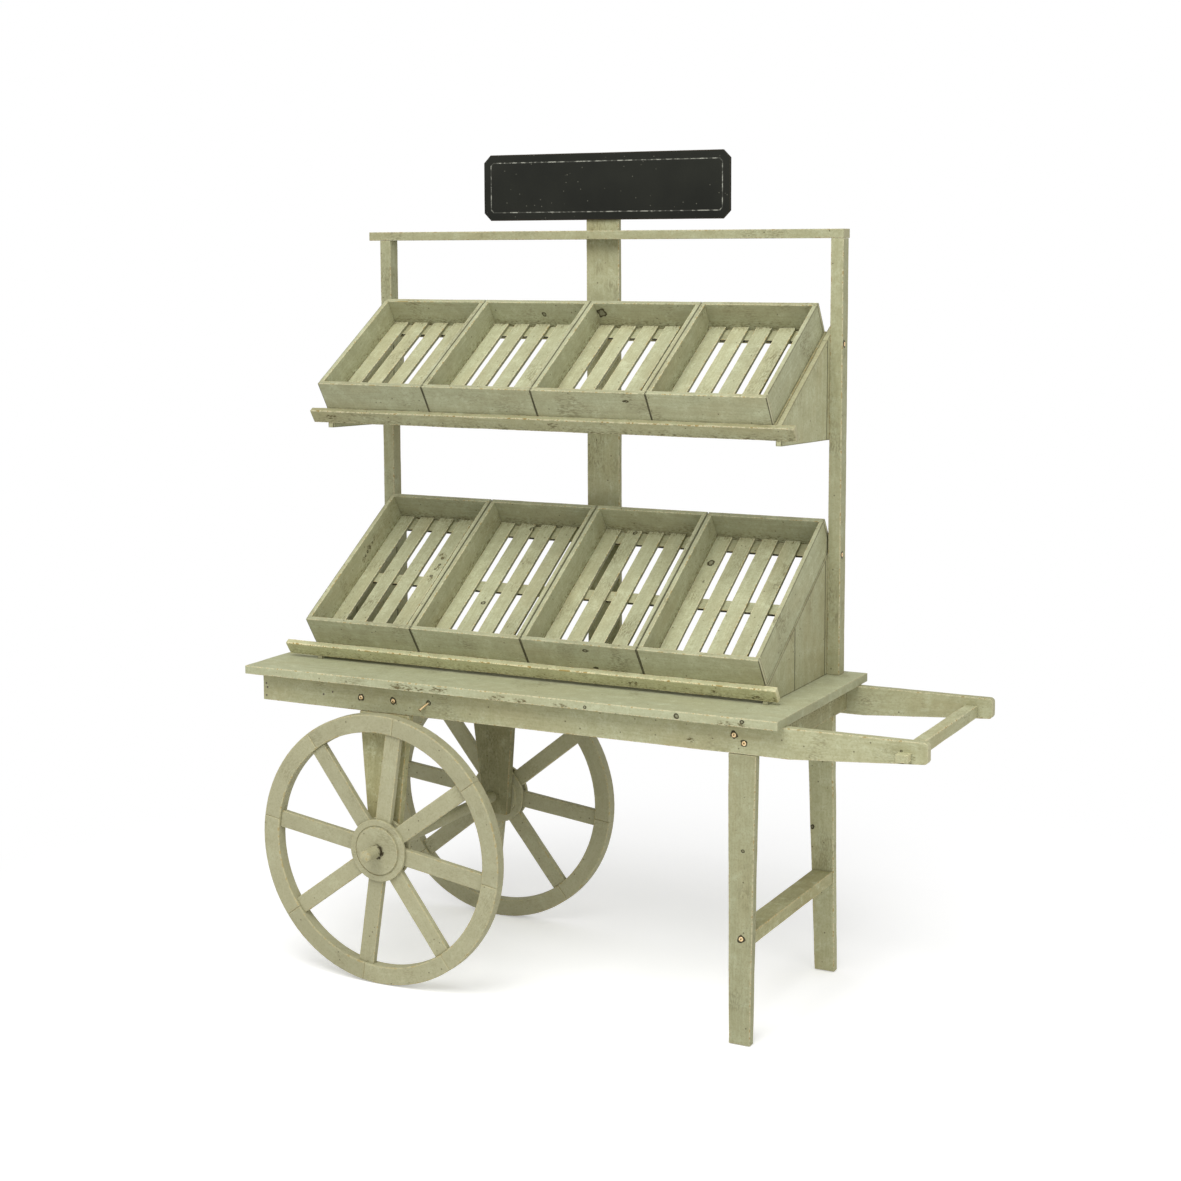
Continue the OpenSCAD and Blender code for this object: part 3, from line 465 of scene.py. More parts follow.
def washed_pine(name, wash, shade, warm, sanded, knots=0.5, spots=(), stains_and_shade=(), stripes=0.5, clouds=0.45,
                grime=0.5, edges=0.8, sawn=0.45):
    """Stripes of wash and shade, warm clouds, knots, specks, grime, sanded edges and sawn ends, painted
    shade on thin sides and at the places given, and a light bump. The last five numbers say how strong
    the stripes, clouds, grime, sanded edges and pale ends are; sawn ends below 0 are darkened with
    painted shade instead."""
    material, t = bare_material(name)
    grain = add(t, "Attribute", attribute_name="grain").outputs["Vector"]
    worn, cut, tone, flank, nook = (add(t, "Attribute", attribute_name=label).outputs["Fac"]
                                    for label in ("worn", "cut", "tone", "flank", "nook"))
    # The stripes wander sideways by some millimetres over a hand's length
    drift = add(t, "VectorMath", {0: grain, 1: (5, 16, 16)}, operation="MULTIPLY")
    cloud = add(t, "TexNoise", {"Vector": drift, "Scale": 1, "Detail": 2})
    sway = add(t, "VectorMath", {0: cloud.outputs["Color"], 1: (0.0, 0.024, 0.024), 2: grain},
               operation="MULTIPLY_ADD")
    layers, height = wash_layers(t, grain, sway, cloud, shade, warm, stripes, clouds)
    # Painted shade darkens the long sides of the thin boards that ask for it: the slats and battens in the
    # gaps of a tray's floor, and the tenon
    layers.append((flank, SHADED_SIDE))
    # Noise of some millimetres frays the outlines of knots, grime and sanded edges
    chips = add(t, "TexNoise", {"Vector": grain, "Scale": 130, "Detail": 4})
    layers.append((knot_and_shade_mask(t, sway, chips, knots, spots), KNOT_AND_SHADE))
    layers.append((grime_and_shade_mask(t, grain, chips, nook, grime, stains_and_shade), GRIME_AND_SHADE))
    layers.append((speck_mask(t, grain), SPECK))
    # Sanded edges come and go along the board, with an ochre line where the wash ends
    bare = add(t, "MapRange", {"Value": chips, "From Min": 0.4, "From Max": 0.52, "To Max": edges})
    edge = add(t, "Math", {0: bare, 1: worn}, operation="MULTIPLY", use_clamp=True)
    layers.append((edge, sanded))
    rim = add(t, "MapRange", {"Value": chips, "From Min": 0.55, "From Max": 0.61, "To Max": edges})
    line = add(t, "Math", {0: rim, 1: worn}, operation="MULTIPLY", use_clamp=True)
    layers.append((line, OCHRE))
    # Sawn ends are pale, or darkened with painted shade; where a board meets its neighbour the edge is a dark
    # joint
    end = add(t, "Math", {0: cut, 1: abs(sawn)}, operation="MULTIPLY")
    layers.append((end, sanded if sawn > 0 else SHADED_END))
    joint = add(t, "Math", {0: worn, 1: -1.0}, operation="MULTIPLY", use_clamp=True)
    layers.append((joint, JOINT_DARK))
    # No two boards took the wash alike; on some boards the lightness also holds painted light and shade
    level = add(t, "Math", {0: tone, 1: 0.14, 2: 0.93}, operation="MULTIPLY_ADD")
    colour = add(t, "VectorMath", {0: painted(t, wash, layers), "Scale": level}, operation="SCALE")
    bump = add(t, "Bump", {"Height": height, "Strength": 0.4, "Distance": 0.0006})
    shader = add(t, "BsdfPrincipled", {"Base Color": colour, "Roughness": 0.75, "IOR": 1.45,
                                       "Specular IOR Level": 0.25, "Normal": bump})
    add(t, "OutputMaterial", {"Surface": shader})
    print(name, "is mixed of", len(layers), "layers over", wash)
    return material


print("one builder mixes every washed pine")

# %% [markdown]
# ## The finishes
# One wash over several timbers: the frame boards, the smoother and yellower deck, the trays, their
# battens, and the boards underneath that were washed thinly and stay brown. The wheels are of a browner
# board with open pores. The blackboard is painted matte with a thin broken chalk border, the screws are
# domed brass, and the nails are dull iron. Each is a material of its own, so that a scene can repaint
# one without the others.

# %% Marks that the photograph shows at a certain place
# Knots and the rings of painted shade round the screws are x, y, z and radius in millimetres, stains also how
# many times longer along X
DECK_KNOTS = [(381, -240, 612, 5), (250, -240, 610, 6), (61, -240, 608, 4)]
DECK_STAINS = [(-342, -240, 608, 12, 4), (-259, -240, 611, 9, 4), (-300, -240, 609, 8, 3),
               (-125, -240, 607, 10, 4), (9, -240, 606, 7, 4), (-77, -240, 607, 8, 3),
               (350, -240, 605, 11, 3), (381, -240, 605, 8, 3)]
TRAY_KNOTS = [(-244, 179, 1326, 6), (-108, 176, 1331, 12), (154, 136, 836, 9), (231, 88, 804, 5),
              (234, 27, 764, 5), (-45, 198, 877, 6), (-292, -4, 743, 6), (-284, 191, 873, 6),
              (-616.5, 58, 812, 3), (-616.5, 66, 820, 4), (-616.5, 75, 828, 4), (-616.5, 85, 837, 3),
              (-450, 98, 812, 4), (-447, 82, 801, 4), (-451, 70, 793, 3), (-450, 52, 781, 4)]
TRAY_STAINS = [(-616, 51, 804, 10, 1), (-616, 72, 827, 13, 1), (-616, 96, 845, 10, 1),
               (-448, 73, 795, 14, 1), (-452, 105, 816, 16, 1), (-446, 42, 774, 14, 1)]
# The last knot and the last two stains lie round the tenon where it leaves the front rail: painted shade at
# its base
FRAME_KNOTS_AND_SHADE = [(374, -215, 365, 4), (350, 204, 301, 7), (362, -120, 632, 4), (352, -119, 629, 3),
               (274, -121, 636, 3), (112, -121, 640, 4), (98, -121, 636, 3), (671, -208, 583, 2.5)]
FRAME_STAINS_AND_SHADE = [(-95, -65, 1118, 12, 2), (-614, -65, 1119, 9, 3), (308, -57, 1106, 9, 3),
                (107, -121, 634, 11, 2.5), (274, -121, 634, 8, 2), (360, -118, 631, 13, 2),
                (394, -118, 630, 10, 1.5), (264, -208, 560, 8, 2), (677, -208, 565, 15, 1.2),
                (692, -208, 574, 9, 1)]
# Painted shade: dark rings round the screw heads, and where the slanting screw enters the front rail
SCREW_SHADE_RINGS = [(-459, -208, 571, 8), (-383, -208, 571, 8), (-301, -208, 575, 6), (352, -208, 579, 8),
               (372, -208, 565, 8), (374, -222, 200, 8), (407, 202, 860, 8), (407, 202, 1275, 8)]
UNDER_KNOTS = [(-374, 190, 333, 4)]
# Painted shade: a dark ring round the axle on the front hub, set off to the lower right, where the gap round
# the axle lies in shade
HUB_BORE_SHADE = [(-394.5, -258, 274, 15)]
print(len(DECK_KNOTS + TRAY_KNOTS + FRAME_KNOTS_AND_SHADE + UNDER_KNOTS), "knots placed by hand")

# %% Mix the pine finishes
FINISHES["sage_pine"] = washed_pine("sage_washed_pine", "#bbbb97", "#9f9c75", "#ada276", "#d2cba6",
                                    spots=FRAME_KNOTS_AND_SHADE + SCREW_SHADE_RINGS, stains_and_shade=FRAME_STAINS_AND_SHADE)
# The deck's sawn ends are darkened a little with painted shade
FINISHES["deck_pine"] = washed_pine("smooth_deck_pine", "#b5b897", "#a2a17f", "#ada982", "#d2cba6",
                                    knots=0.3, spots=DECK_KNOTS, stains_and_shade=DECK_STAINS, sawn=-0.2)
FINISHES["tray_pine"] = washed_pine("tray_pine", "#b2b493", "#989675", "#a69d76", "#cfcaa6",
                                    spots=TRAY_KNOTS, stains_and_shade=TRAY_STAINS, clouds=0.42, grime=0.6)
FINISHES["batten_pine"] = washed_pine("batten_pine", "#b5b693", "#989673", "#a89e75", "#c4bf9b")
FINISHES["under_pine"] = washed_pine("thinly_washed_pine", "#a8a57f", "#8a865e", "#94895c", "#bbae86",
                                     spots=UNDER_KNOTS)
FINISHES["wheel_wood"] = washed_pine("wheel_board", "#aba889", "#989574", "#a09872", "#bfb892",
                                     knots=0.1, spots=HUB_BORE_SHADE, stripes=0.2, clouds=0.2, grime=0.3,
                                     edges=0.6)
print(len(FINISHES), "pine finishes")

# %% Paint the blackboard
SIGN = dict(left=-409, right=156, low=1520, high=1657, clip=16)
SIGN_MIDDLE = ((SIGN["left"] + SIGN["right"]) / 2, 225, (SIGN["low"] + SIGN["high"]) / 2)
BORDER = 17  # millimetres from the blackboard's edge to its chalk border
CHALK_FULL, CHALK_END = 0.6, 1.2  # millimetres from the border's middle, where it fades and where it ends
BLACK, DUSTY_BLACK, CHALK, CHALK_FLECK, BARE_EDGE = "#1b1c18", "#272822", "#b9b9ac", "#8d8c7c", "#5a4c39"


def blackboard_paint(name, middle, half_length, half_height, clip):
    """Matte blackboard paint: the border is the line where the distance to the clipped rectangle,
    the smallest of three straight distances, equals BORDER; noise breaks it up."""
    material, t = bare_material(name)
    place = add(t, "TexCoord").outputs["Object"]
    centred = add(t, "VectorMath", {0: place, 1: tuple(v * MM for v in middle)}, operation="SUBTRACT")
    size = add(t, "VectorMath", {0: centred}, operation="ABSOLUTE")
    away = add(t, "SeparateXYZ", {0: size})
    across = add(t, "Math", {0: half_length * MM, 1: away.outputs["X"]}, operation="SUBTRACT")
    upright = add(t, "Math", {0: half_height * MM, 1: away.outputs["Z"]}, operation="SUBTRACT")
    near = add(t, "Math", {0: across, 1: upright}, operation="MINIMUM")
    both = add(t, "Math", {0: across, 1: upright}, operation="ADD")
    corner = add(t, "Math", {0: both, 1: clip * MM}, operation="SUBTRACT")
    slanted = add(t, "Math", {0: corner, 1: math.sqrt(0.5)}, operation="MULTIPLY")
    inside = add(t, "Math", {0: near, 1: slanted}, operation="MINIMUM")
    off = add(t, "Math", {0: inside, 1: BORDER * MM}, operation="SUBTRACT")
    off = add(t, "Math", {0: off}, operation="ABSOLUTE")
    line = add(t, "MapRange", {"Value": off, "From Min": CHALK_END * MM, "From Max": CHALK_FULL * MM})
    breaks = add(t, "TexNoise", {"Vector": place, "Scale": 90, "Detail": 2})
    kept = add(t, "MapRange", {"Value": breaks, "From Min": 0.44, "From Max": 0.6, "To Min": 0.08,
                               "To Max": 0.65})
    chalk = add(t, "Math", {0: line, 1: kept}, operation="MULTIPLY")
    depth = add(t, "SeparateXYZ", {0: centred}).outputs["Y"]
    front = add(t, "Math", {0: depth, 1: 0.0}, operation="LESS_THAN")
    chalk = add(t, "Math", {0: chalk, 1: front}, operation="MULTIPLY")
    dust = add(t, "TexNoise", {"Vector": place, "Scale": 7, "Detail": 4})
    film = add(t, "MapRange", {"Value": dust, "From Min": 0.35, "From Max": 0.8})
    fleck = add(t, "TexVoronoi", {"Vector": place, "Scale": 75})
    flecks = add(t, "MapRange", {"Value": fleck.outputs["Distance"], "From Min": 0.1, "From Max": 0.05,
                                 "To Max": 0.4})
    rub = add(t, "Attribute", attribute_name="worn").outputs["Fac"]
    rubbed = add(t, "Math", {0: rub, 1: 0.4}, operation="MULTIPLY")
    colour = painted(t, BLACK, [(film, DUSTY_BLACK), (chalk, CHALK), (flecks, CHALK_FLECK),
                                (rubbed, BARE_EDGE)])
    shader = add(t, "BsdfPrincipled", {"Base Color": colour, "Roughness": 0.8, "IOR": 1.5,
                                       "Specular IOR Level": 0.15})
    add(t, "OutputMaterial", {"Surface": shader})
    return material


FINISHES["blackboard"] = blackboard_paint("blackboard_paint", SIGN_MIDDLE,
                                          (SIGN["right"] - SIGN["left"]) / 2,
                                          (SIGN["high"] - SIGN["low"]) / 2, SIGN["clip"])
print("the blackboard is", SIGN["right"] - SIGN["left"], "by", SIGN["high"] - SIGN["low"], "mm")

# %% Polish the brass and dull the iron
RECESS_SHADE = "#35291b"


def metal(name, light, dark, roughness):
    """A metal whose colour clouds between two tones in patches of 2 mm or so, darkened with painted shade
    where the cut attribute says: a screw's recess and the rim of its head.
    """
    material, t = bare_material(name)
    place = add(t, "TexCoord").outputs["Object"]
    patch = add(t, "TexNoise", {"Vector": place, "Scale": 500, "Detail": 2})
    recess = add(t, "Attribute", attribute_name="cut").outputs["Fac"]
    colour = painted(t, light, [(patch, dark), (recess, RECESS_SHADE)])
    shader = add(t, "BsdfPrincipled", {"Base Color": colour, "Metallic": 1.0, "Roughness": roughness})
    add(t, "OutputMaterial", {"Surface": shader})
    return material


FINISHES["brass"] = metal("bright_brass", light="#ffeec8", dark="#d8a860", roughness=0.3)
FINISHES["nail_iron"] = metal("dull_iron", light="#7c7468", dark="#544b40", roughness=0.55)
print(len(FINISHES), "finishes with blackboard, brass and iron")

# %% [markdown]
# ## Deck, rails and crossbar
# The deck is one wide board. The two rails stand on edge under it and run on past it as handles; past
# the deck their lower edge rises in a straight line to a lower, rounded end. Each is one outline seen
# from the side, so the taper and the rounded corners come from the same five points. The crossbar
# between the handles goes through the front one as a tenon and stands out of it.

# %% Deck, rails, aprons and crossbar
LEFT, DECK_END, HANDLE_END = -720.0, 450.0, 720.0
DECK_HALF, DECK_UNDER, DECK_TOP = 240.0, 602.0, 619.0
RAIL_OUT, RAIL_IN, RAIL_LOW, RAIL_THICK = 208.0, 190.0, 544.0, 18
RAIL_LEFT, TAPER, TAPER_END = -698.0, 459.0, 562.57
SAWN_R, BEND_R, HANDLE_R = 1.2, 30, 8
LEFT_APRON_END, RIGHT_APRON, RIGHT_APRON_LOW = -680, (407, 425), 553
CROSSBAR_X, CROSSBAR_Z = (666, 690), (562, 586)
TENON_X, TENON_Z, TENON_OUT, TENON_HIDDEN = (666.5, 689.5), (566.5, 581.5), 228, 2
JOINT = 0.2
SIDE_VIEW = [(1, 0, 0), (0, 0, 1)]
# The range of each board's lightness, read off the photograph, where -1 is the front side and 1 the rear.
# Besides the board's own tone it holds painted light and shade: the rear rail and rear bracket are darker
# as painted shade, the rear leg and the front bracket lighter as painted light
RAIL_TONE_AND_SHADE = {-1: (0.0, 0.2), 1: (-0.7, -0.5)}
LEG_TONE_AND_LIGHT = {-1: (-1.4, -1.2), 1: (0.0, 0.2)}
BRACKET_TONE_LIGHT_AND_SHADE = {-1: (1.9, 2.1), 1: (-1.6, -1.4)}

deck = beam((LEFT, -DECK_HALF, DECK_UNDER), (DECK_END, DECK_HALF, DECK_TOP), wear=1.6, wobble=0.9)
piece("deck_board", [deck], "deck_pine", "deck")

rail_corners = [(RAIL_LEFT, RAIL_LOW), (TAPER, RAIL_LOW), (HANDLE_END, TAPER_END),
                (HANDLE_END, DECK_UNDER), (RAIL_LEFT, DECK_UNDER)]
rails = {side: slab(rail_corners, RAIL_THICK, (0, side * RAIL_OUT, 0), SIDE_VIEW + [(0, -side, 0)],
                    radii=[SAWN_R, BEND_R, HANDLE_R, HANDLE_R, SAWN_R], edge=0.8, wear=1.2, wobble=0.5,
                    tone=RAIL_TONE_AND_SHADE[side])
         for side in (-1, 1)}
piece("front_rail_board", [rails[-1]], "sage_pine", "front_rail")
piece("rear_rail_board", [rails[1]], "sage_pine", "rear_rail")

inner, apron_top = RAIL_IN - JOINT, DECK_UNDER - JOINT
left_apron = beam((RAIL_LEFT, -inner, RAIL_LOW), (LEFT_APRON_END, inner, apron_top))
piece("left_apron_board", [left_apron], "under_pine", "left_apron")
# Painted shade of the deck's overhang: the right apron is darker overall, and darker still towards its top
right_apron = beam((RIGHT_APRON[0], -inner, RIGHT_APRON_LOW), (RIGHT_APRON[1], inner, apron_top),
                   nook=(0, -1, 0, 38), tone=(-0.7, -0.5))
piece("right_apron_board", [right_apron], "under_pine", "right_apron")
crossbar = beam((CROSSBAR_X[0], -inner, CROSSBAR_Z[0]), (CROSSBAR_X[1], inner, CROSSBAR_Z[1]), wear=1.4)
# The tenon's long sides are darkened a little with painted shade
tenon = beam((TENON_X[0], -TENON_OUT, TENON_Z[0]), (TENON_X[1], -RAIL_OUT + TENON_HIDDEN, TENON_Z[1]),
             edge=1.0, wear=1.2, sides=0.12, tone=(0.9, 1.1))
piece("handle_crossbar_and_tenon", [crossbar, tenon], "sage_pine", "handle_crossbar")
print(len(made_pieces), "pieces: deck, rails, aprons, crossbar")

# %% [markdown]
# ## Legs and axle brackets
# Legs and brackets lean outwards by 2.4 degrees and taper: the leg on its left edge only, the bracket
# on both. Each is an outline seen from the side, whose upward direction leans, so the board's faces
# stay flat. Above the shoulder a thin tongue lies in the rail's inner face.

# %% Legs, stretcher and brackets
LEAN = math.tan(math.radians(2.4))
LEG_RIGHT, LEG_FOOT, LEG_TOP, LEG_THICK = 396.0, 43.0, 56.0, 18.016
AXLE_X, AXLE_Z, BRACKET_LOW, BRACKET_SHIFT = -396.0, 275.0, 237.0, 9.0
FOOT_HALF, TOP_HALF = 28.0, 58.0
TONGUE_OUT, TONGUE_IN = 199.0, 189.6
STRETCHER_LOW, STRETCHER_HIGH, STRETCHER_X, STRETCHER_WIDE = 187.5, 212.5, 351.2, 42


def outer_face(z):
    """How far from the middle a leaning board's outer face is, at a height."""
    return RAIL_OUT + (RAIL_LOW - z) * LEAN


def leaning(corners, side, **how):
    """A board whose outline is drawn in X and Z and whose faces lean outwards towards the ground."""
    axes = [(1, 0, 0), (0, -side * LEAN, 1), (0, -side, 0)]
    return slab(corners, LEG_THICK, (0, side * outer_face(0), 0), axes, along=90, **how)


def tongue(x0, x1, side):
    """The upright tongue above a board's shoulder, from 0.4 mm proud of the rail's inner face outwards."""
    y0, y1 = sorted((side * TONGUE_OUT, side * TONGUE_IN))
    return beam((x0, y0, RAIL_LOW - 1), (x1, y1, apron_top), edge=0.4, wear=0.2, wobble=0)


top = RAIL_LOW - JOINT
leg_corners = [(LEG_RIGHT - LEG_FOOT, 0), (LEG_RIGHT, 0), (LEG_RIGHT, top), (LEG_RIGHT - LEG_TOP, top)]
legs, brackets = {}, {}
for side in (-1, 1):
    legs[side] = [leaning(leg_corners, side, edge=0.9, wear=1.6, wobble=0.7, tone=LEG_TONE_AND_LIGHT[side]),
                  tongue(LEG_RIGHT - LEG_TOP, LEG_RIGHT, side)]
    mid = AXLE_X + side * BRACKET_SHIFT
    bracket_corners = [(mid - FOOT_HALF, BRACKET_LOW), (mid + FOOT_HALF, BRACKET_LOW),
                       (mid + TOP_HALF, top), (mid - TOP_HALF, top)]
    brackets[side] = [
        leaning(bracket_corners, side, edge=0.9, wear=1.3, wobble=0.5, tone=BRACKET_TONE_LIGHT_AND_SHADE[side]),
        tongue(mid - TOP_HALF, mid + TOP_HALF, side)]
for name, boards, slot, node in (("leg", legs, "sage_pine", "leg"),
                                 ("bracket", brackets, "under_pine", "axle_bracket")):
    for side, at in ((-1, "front"), (1, "rear")):
        piece(f"{at}_{name}_board", boards[side], slot, f"{at}_{node}")

r0, r1 = (outer_face(z) - LEG_THICK - JOINT for z in (STRETCHER_LOW, STRETCHER_HIGH))
stretcher = slab([(-r0, STRETCHER_LOW), (r0, STRETCHER_LOW), (r1, STRETCHER_HIGH), (-r1, STRETCHER_HIGH)],
                 STRETCHER_WIDE, (STRETCHER_X, 0, 0), [(0, 1, 0), (0, 0, 1), (1, 0, 0)], edge=0.8,
                 wear=1.2, tone=(1.2, 1.4))
piece("stretcher_bar", [stretcher], "under_pine", "leg_stretcher")
print(len(made_pieces), "pieces: with legs, stretcher and brackets")

# %% [markdown]
# ## Wheels
# A wheel is eight felloes sawn from flat board, eight flat spokes let into them, and a turned hub of
# two flanges with a boss. A felloe is an outline with two arcs, and its grain runs along its chord, so
# the stripes turn from felloe to felloe as they do on the real rim. Hub and axle are turned profiles;
# the axle's ends are a little chipped, which a chance wave round the chamfer gives.

# %% Shape of a felloe and of a spoke
WHEEL_R, RIM_IN_R, RIM_BEVEL, SAW_CUT = 275.0, 239.0, 1.6, 0.1
RIM_IN_Y, RIM_OUT_Y, SPOKE_IN_Y, SPOKE_OUT_Y = 229.29, 254.29, 235.49, 248.09
STEP = 45
TURN = {-1: -8.6, 1: -6.6}
SPOKE_HALF, SPOKE_START = 17, 46


def felloe(middle):
    """An eighth of the rim: outer arc, saw cut, inner arc, saw cut, all round the middle angle."""
    t = np.radians(np.linspace(-STEP / 2, STEP / 2, 13))
    outer = np.stack([WHEEL_R * np.cos(t), WHEEL_R * np.sin(t)], -1)
    inside = np.stack([RIM_IN_R * np.cos(t), RIM_IN_R * np.sin(t)], -1)[::-1]
    half = math.radians(STEP / 2)
    for line in (outer, inside):
        for end in (0, -1):
            sign = np.sign(line[end, 1])
            line[end] -= sign * SAW_CUT * np.array([-sign * math.sin(half), math.cos(half)])
    radii = np.r_[0.7, np.zeros(11), 0.7, 0.7, np.zeros(11), 0.7]
    return in_wheel(np.vstack([outer, inside]), radii, middle, RIM_IN_Y, RIM_OUT_Y, along=90,
                    edge=RIM_BEVEL, wear=0.8)


def spoke(middle):
    """A flat spoke from inside the hub's flanges to the rim, its outer end hollowed to the rim's arc."""
    y = np.linspace(-SPOKE_HALF, SPOKE_HALF, 7)
    end = np.stack([np.sqrt((RIM_IN_R - JOINT) ** 2 - y**2), y], -1)
    corners = np.vstack([[(SPOKE_START, SPOKE_HALF), (SPOKE_START, -SPOKE_HALF)], end])
    radii = np.r_[0.6, 0.6, 0.6, np.zeros(5), 0.6]
    return in_wheel(corners, radii, middle, SPOKE_IN_Y, SPOKE_OUT_Y, edge=0.8, wear=0.8)


def in_wheel(corners, radii, middle, y0, y1, **how):
    """Stands an outline, drawn along its own middle line, at an angle of the front wheel."""
    a = math.radians(middle)
    axes = [(math.cos(a), 0, math.sin(a)), (-math.sin(a), 0, math.cos(a)), (0, 1, 0)]
    return slab(corners, y1 - y0, (AXLE_X, -y1, AXLE_Z), axes, radii=radii, wobble=0.0, **how)


print("a felloe spans", STEP, "degrees and its grain runs along its chord")

# %% Build the wheels
HUB_Y = dict(boss_in=222.29, flange_in=228.29, web_in=235.29, web_out=248.29, flange_out=255.29,
             boss_out=257.79)
BORE_R, CORE_R, BOSS_R, FLANGE_R, GROOVE_R, GROOVE_DEEP = 12.6, 45.0, 48.0, 63.0, 51.0, 1.5
HUB_STRIDE, HUB_CLEAR, HUB_WORN = 4, 0.2, 0.6

# Core, two flanges and two bosses, with a groove round the outer boss: radius, place and rounding
groove = -HUB_Y["flange_out"] + GROOVE_DEEP
hub_points = np.array([
    (BORE_R, -HUB_Y["boss_out"], 0.8), (BOSS_R, -HUB_Y["boss_out"], 1.0), (BOSS_R, groove, 0.25),
    (GROOVE_R, groove, 0.25), (GROOVE_R, -HUB_Y["flange_out"], 0.5), (FLANGE_R, -HUB_Y["flange_out"], 0.9),
    (FLANGE_R, -HUB_Y["web_out"], 0.9), (CORE_R, -HUB_Y["web_out"], 0.25), (CORE_R, -HUB_Y["web_in"], 0.25),
    (FLANGE_R, -HUB_Y["web_in"], 0.9), (FLANGE_R, -HUB_Y["flange_in"], 0.9),
    (BOSS_R, -HUB_Y["flange_in"], 0.25), (BOSS_R, -HUB_Y["boss_in"], 0.9), (BORE_R, -HUB_Y["boss_in"], 0.8)])
hub_rows = outline_rows(hub_points[:, :2], hub_points[:, 2], HUB_STRIDE, HUB_CLEAR)
for side, name in ((-1, "front_wheel"), (1, "rear_wheel")):
    flip = mirrored if side == 1 else (lambda part: part)
    angles = TURN[side] + STEP * np.arange(8)
    rim = [flip(felloe(a + STEP / 2)) for a in angles]
    arms = [flip(spoke(a)) for a in angles]
    turned_hub = flip(lathe(hub_rows[:, :2], (AXLE_X, 0, AXLE_Z), hub_rows[:, 4] * HUB_WORN,
                            closed=True, grain_turn=TURN[side]))
    piece(name + "_rim", rim, "wheel_wood", name + "_felloes", name)
    piece(name + "_arms", arms, "wheel_wood", name + "_spokes", name)
    piece(name + "_turned_hub", [turned_hub], "wheel_wood", name + "_hub", name)

print(len(made_pieces), "pieces: with the wheels")

# %% Turn the axle
AXLE_R, AXLE_TIP, CHAMFER = 12.5, 303.29, 2.0
AXLE_CAP_R, TIP_RING, AXLE_PLAIN = 3, 8, 280

tip = [(AXLE_CAP_R, -AXLE_TIP), (AXLE_R - CHAMFER, -AXLE_TIP), (AXLE_R, -AXLE_TIP + CHAMFER),
       (AXLE_R, -AXLE_TIP + TIP_RING)]
axle_profile = tip + [(AXLE_R, y) for y in np.linspace(-AXLE_PLAIN, AXLE_PLAIN, 15)]
axle_profile += [(r, -y) for r, y in tip[::-1]]
# Chips take up to a sixth off the radius at the end, and less at the chamfer's other ring
chipped = np.zeros(len(axle_profile))
chipped[[1, 2, -3, -2]] = [0.16, 0.05, 0.05, 0.16]
axle_worn = (np.abs(np.array(axle_profile)[:, 1]) > AXLE_TIP - 3) * 0.8
axle = lathe(axle_profile, (AXLE_X, 0, AXLE_Z), axle_worn, turns=48, ragged=chipped)
piece("axle_bar", [axle], "wheel_wood", "axle")
print(len(made_pieces), "pieces: with wheels and axle")

# %% [markdown]
# ## Posts, top rail and blackboard
# Three uprights stand on the deck: two square posts under the top rail, and a flat centre post behind
# it that carries the blackboard. The blackboard is a thin plate with clipped corners.

# %% Posts, top rail and blackboard
POST_Y, POST_BACK, CENTRE_Y, CENTRE_BACK = 192.0, 222.0, 228.0, 240.0
POST_X = {"left_post": (-653.0, -627.0), "right_post": (381.0, 407.0)}
POST_TONE = {"left_post": (-1.3, -1.1), "right_post": (-0.8, -0.6)}
CENTRE_X, CENTRE_TOP, CENTRE_TONE = (-170, -95), 1639, (-0.6, 0.0)
TOP_RAIL_X, TOP_RAIL_LOW, TOP_RAIL_HIGH, TOP_RAIL_TONE = (-681, 407), 1480.0, 1498.0, (-1.3, -1.1)
SIGN_FRONT, SIGN_THICK = 222, 6

for name, (x0, x1) in POST_X.items():
    post = beam((x0, POST_Y, DECK_TOP), (x1, POST_BACK, TOP_RAIL_LOW), edge=0.8, wear=1.4, wobble=0.5,
                tone=POST_TONE[name])
    piece(name + "_bar", [post], "sage_pine", name)
centre_post = beam((CENTRE_X[0], CENTRE_Y, DECK_TOP), (CENTRE_X[1], CENTRE_BACK, CENTRE_TOP), wear=1.0,
                   wobble=0.5, tone=CENTRE_TONE)
piece("centre_post_board", [centre_post], "sage_pine", "centre_post")
top_rail = beam((TOP_RAIL_X[0], POST_Y, TOP_RAIL_LOW), (TOP_RAIL_X[1], CENTRE_Y, TOP_RAIL_HIGH),
                wear=1.2, wobble=0.6, tone=TOP_RAIL_TONE)
piece("top_rail_board", [top_rail], "sage_pine", "top_rail")
c, x0, x1, z0, z1 = (SIGN[key] for key in ("clip", "left", "right", "low", "high"))
sign_corners = [(x0 + c, z0), (x1 - c, z0), (x1, z0 + c), (x1, z1 - c), (x1 - c, z1), (x0 + c, z1),
                (x0, z1 - c), (x0, z0 + c)]
sign = slab(sign_corners, SIGN_THICK, (0, SIGN_FRONT, 0), SIDE_VIEW + [(0, 1, 0)], radii=1.0, edge=0.4,
            wear=0.5, wobble=0.2)
piece("sign_plate", [sign], "blackboard", "sign_board")
print(len(made_pieces), "pieces: with posts, top rail and blackboard")

# %% [markdown]
# ## Shelves
# Each shelf is a pair of cheeks between the posts, whose top edges slope, with a lip across their front
# and hidden bearers between them. A cheek is butted from upright boards, so the fine dark joints are
# real gaps. Everything on a shelf is drawn flat, with X along it, Y up the slope and Z square to it, and
# then turned by the shelf's slope, which is how a maker would measure it.

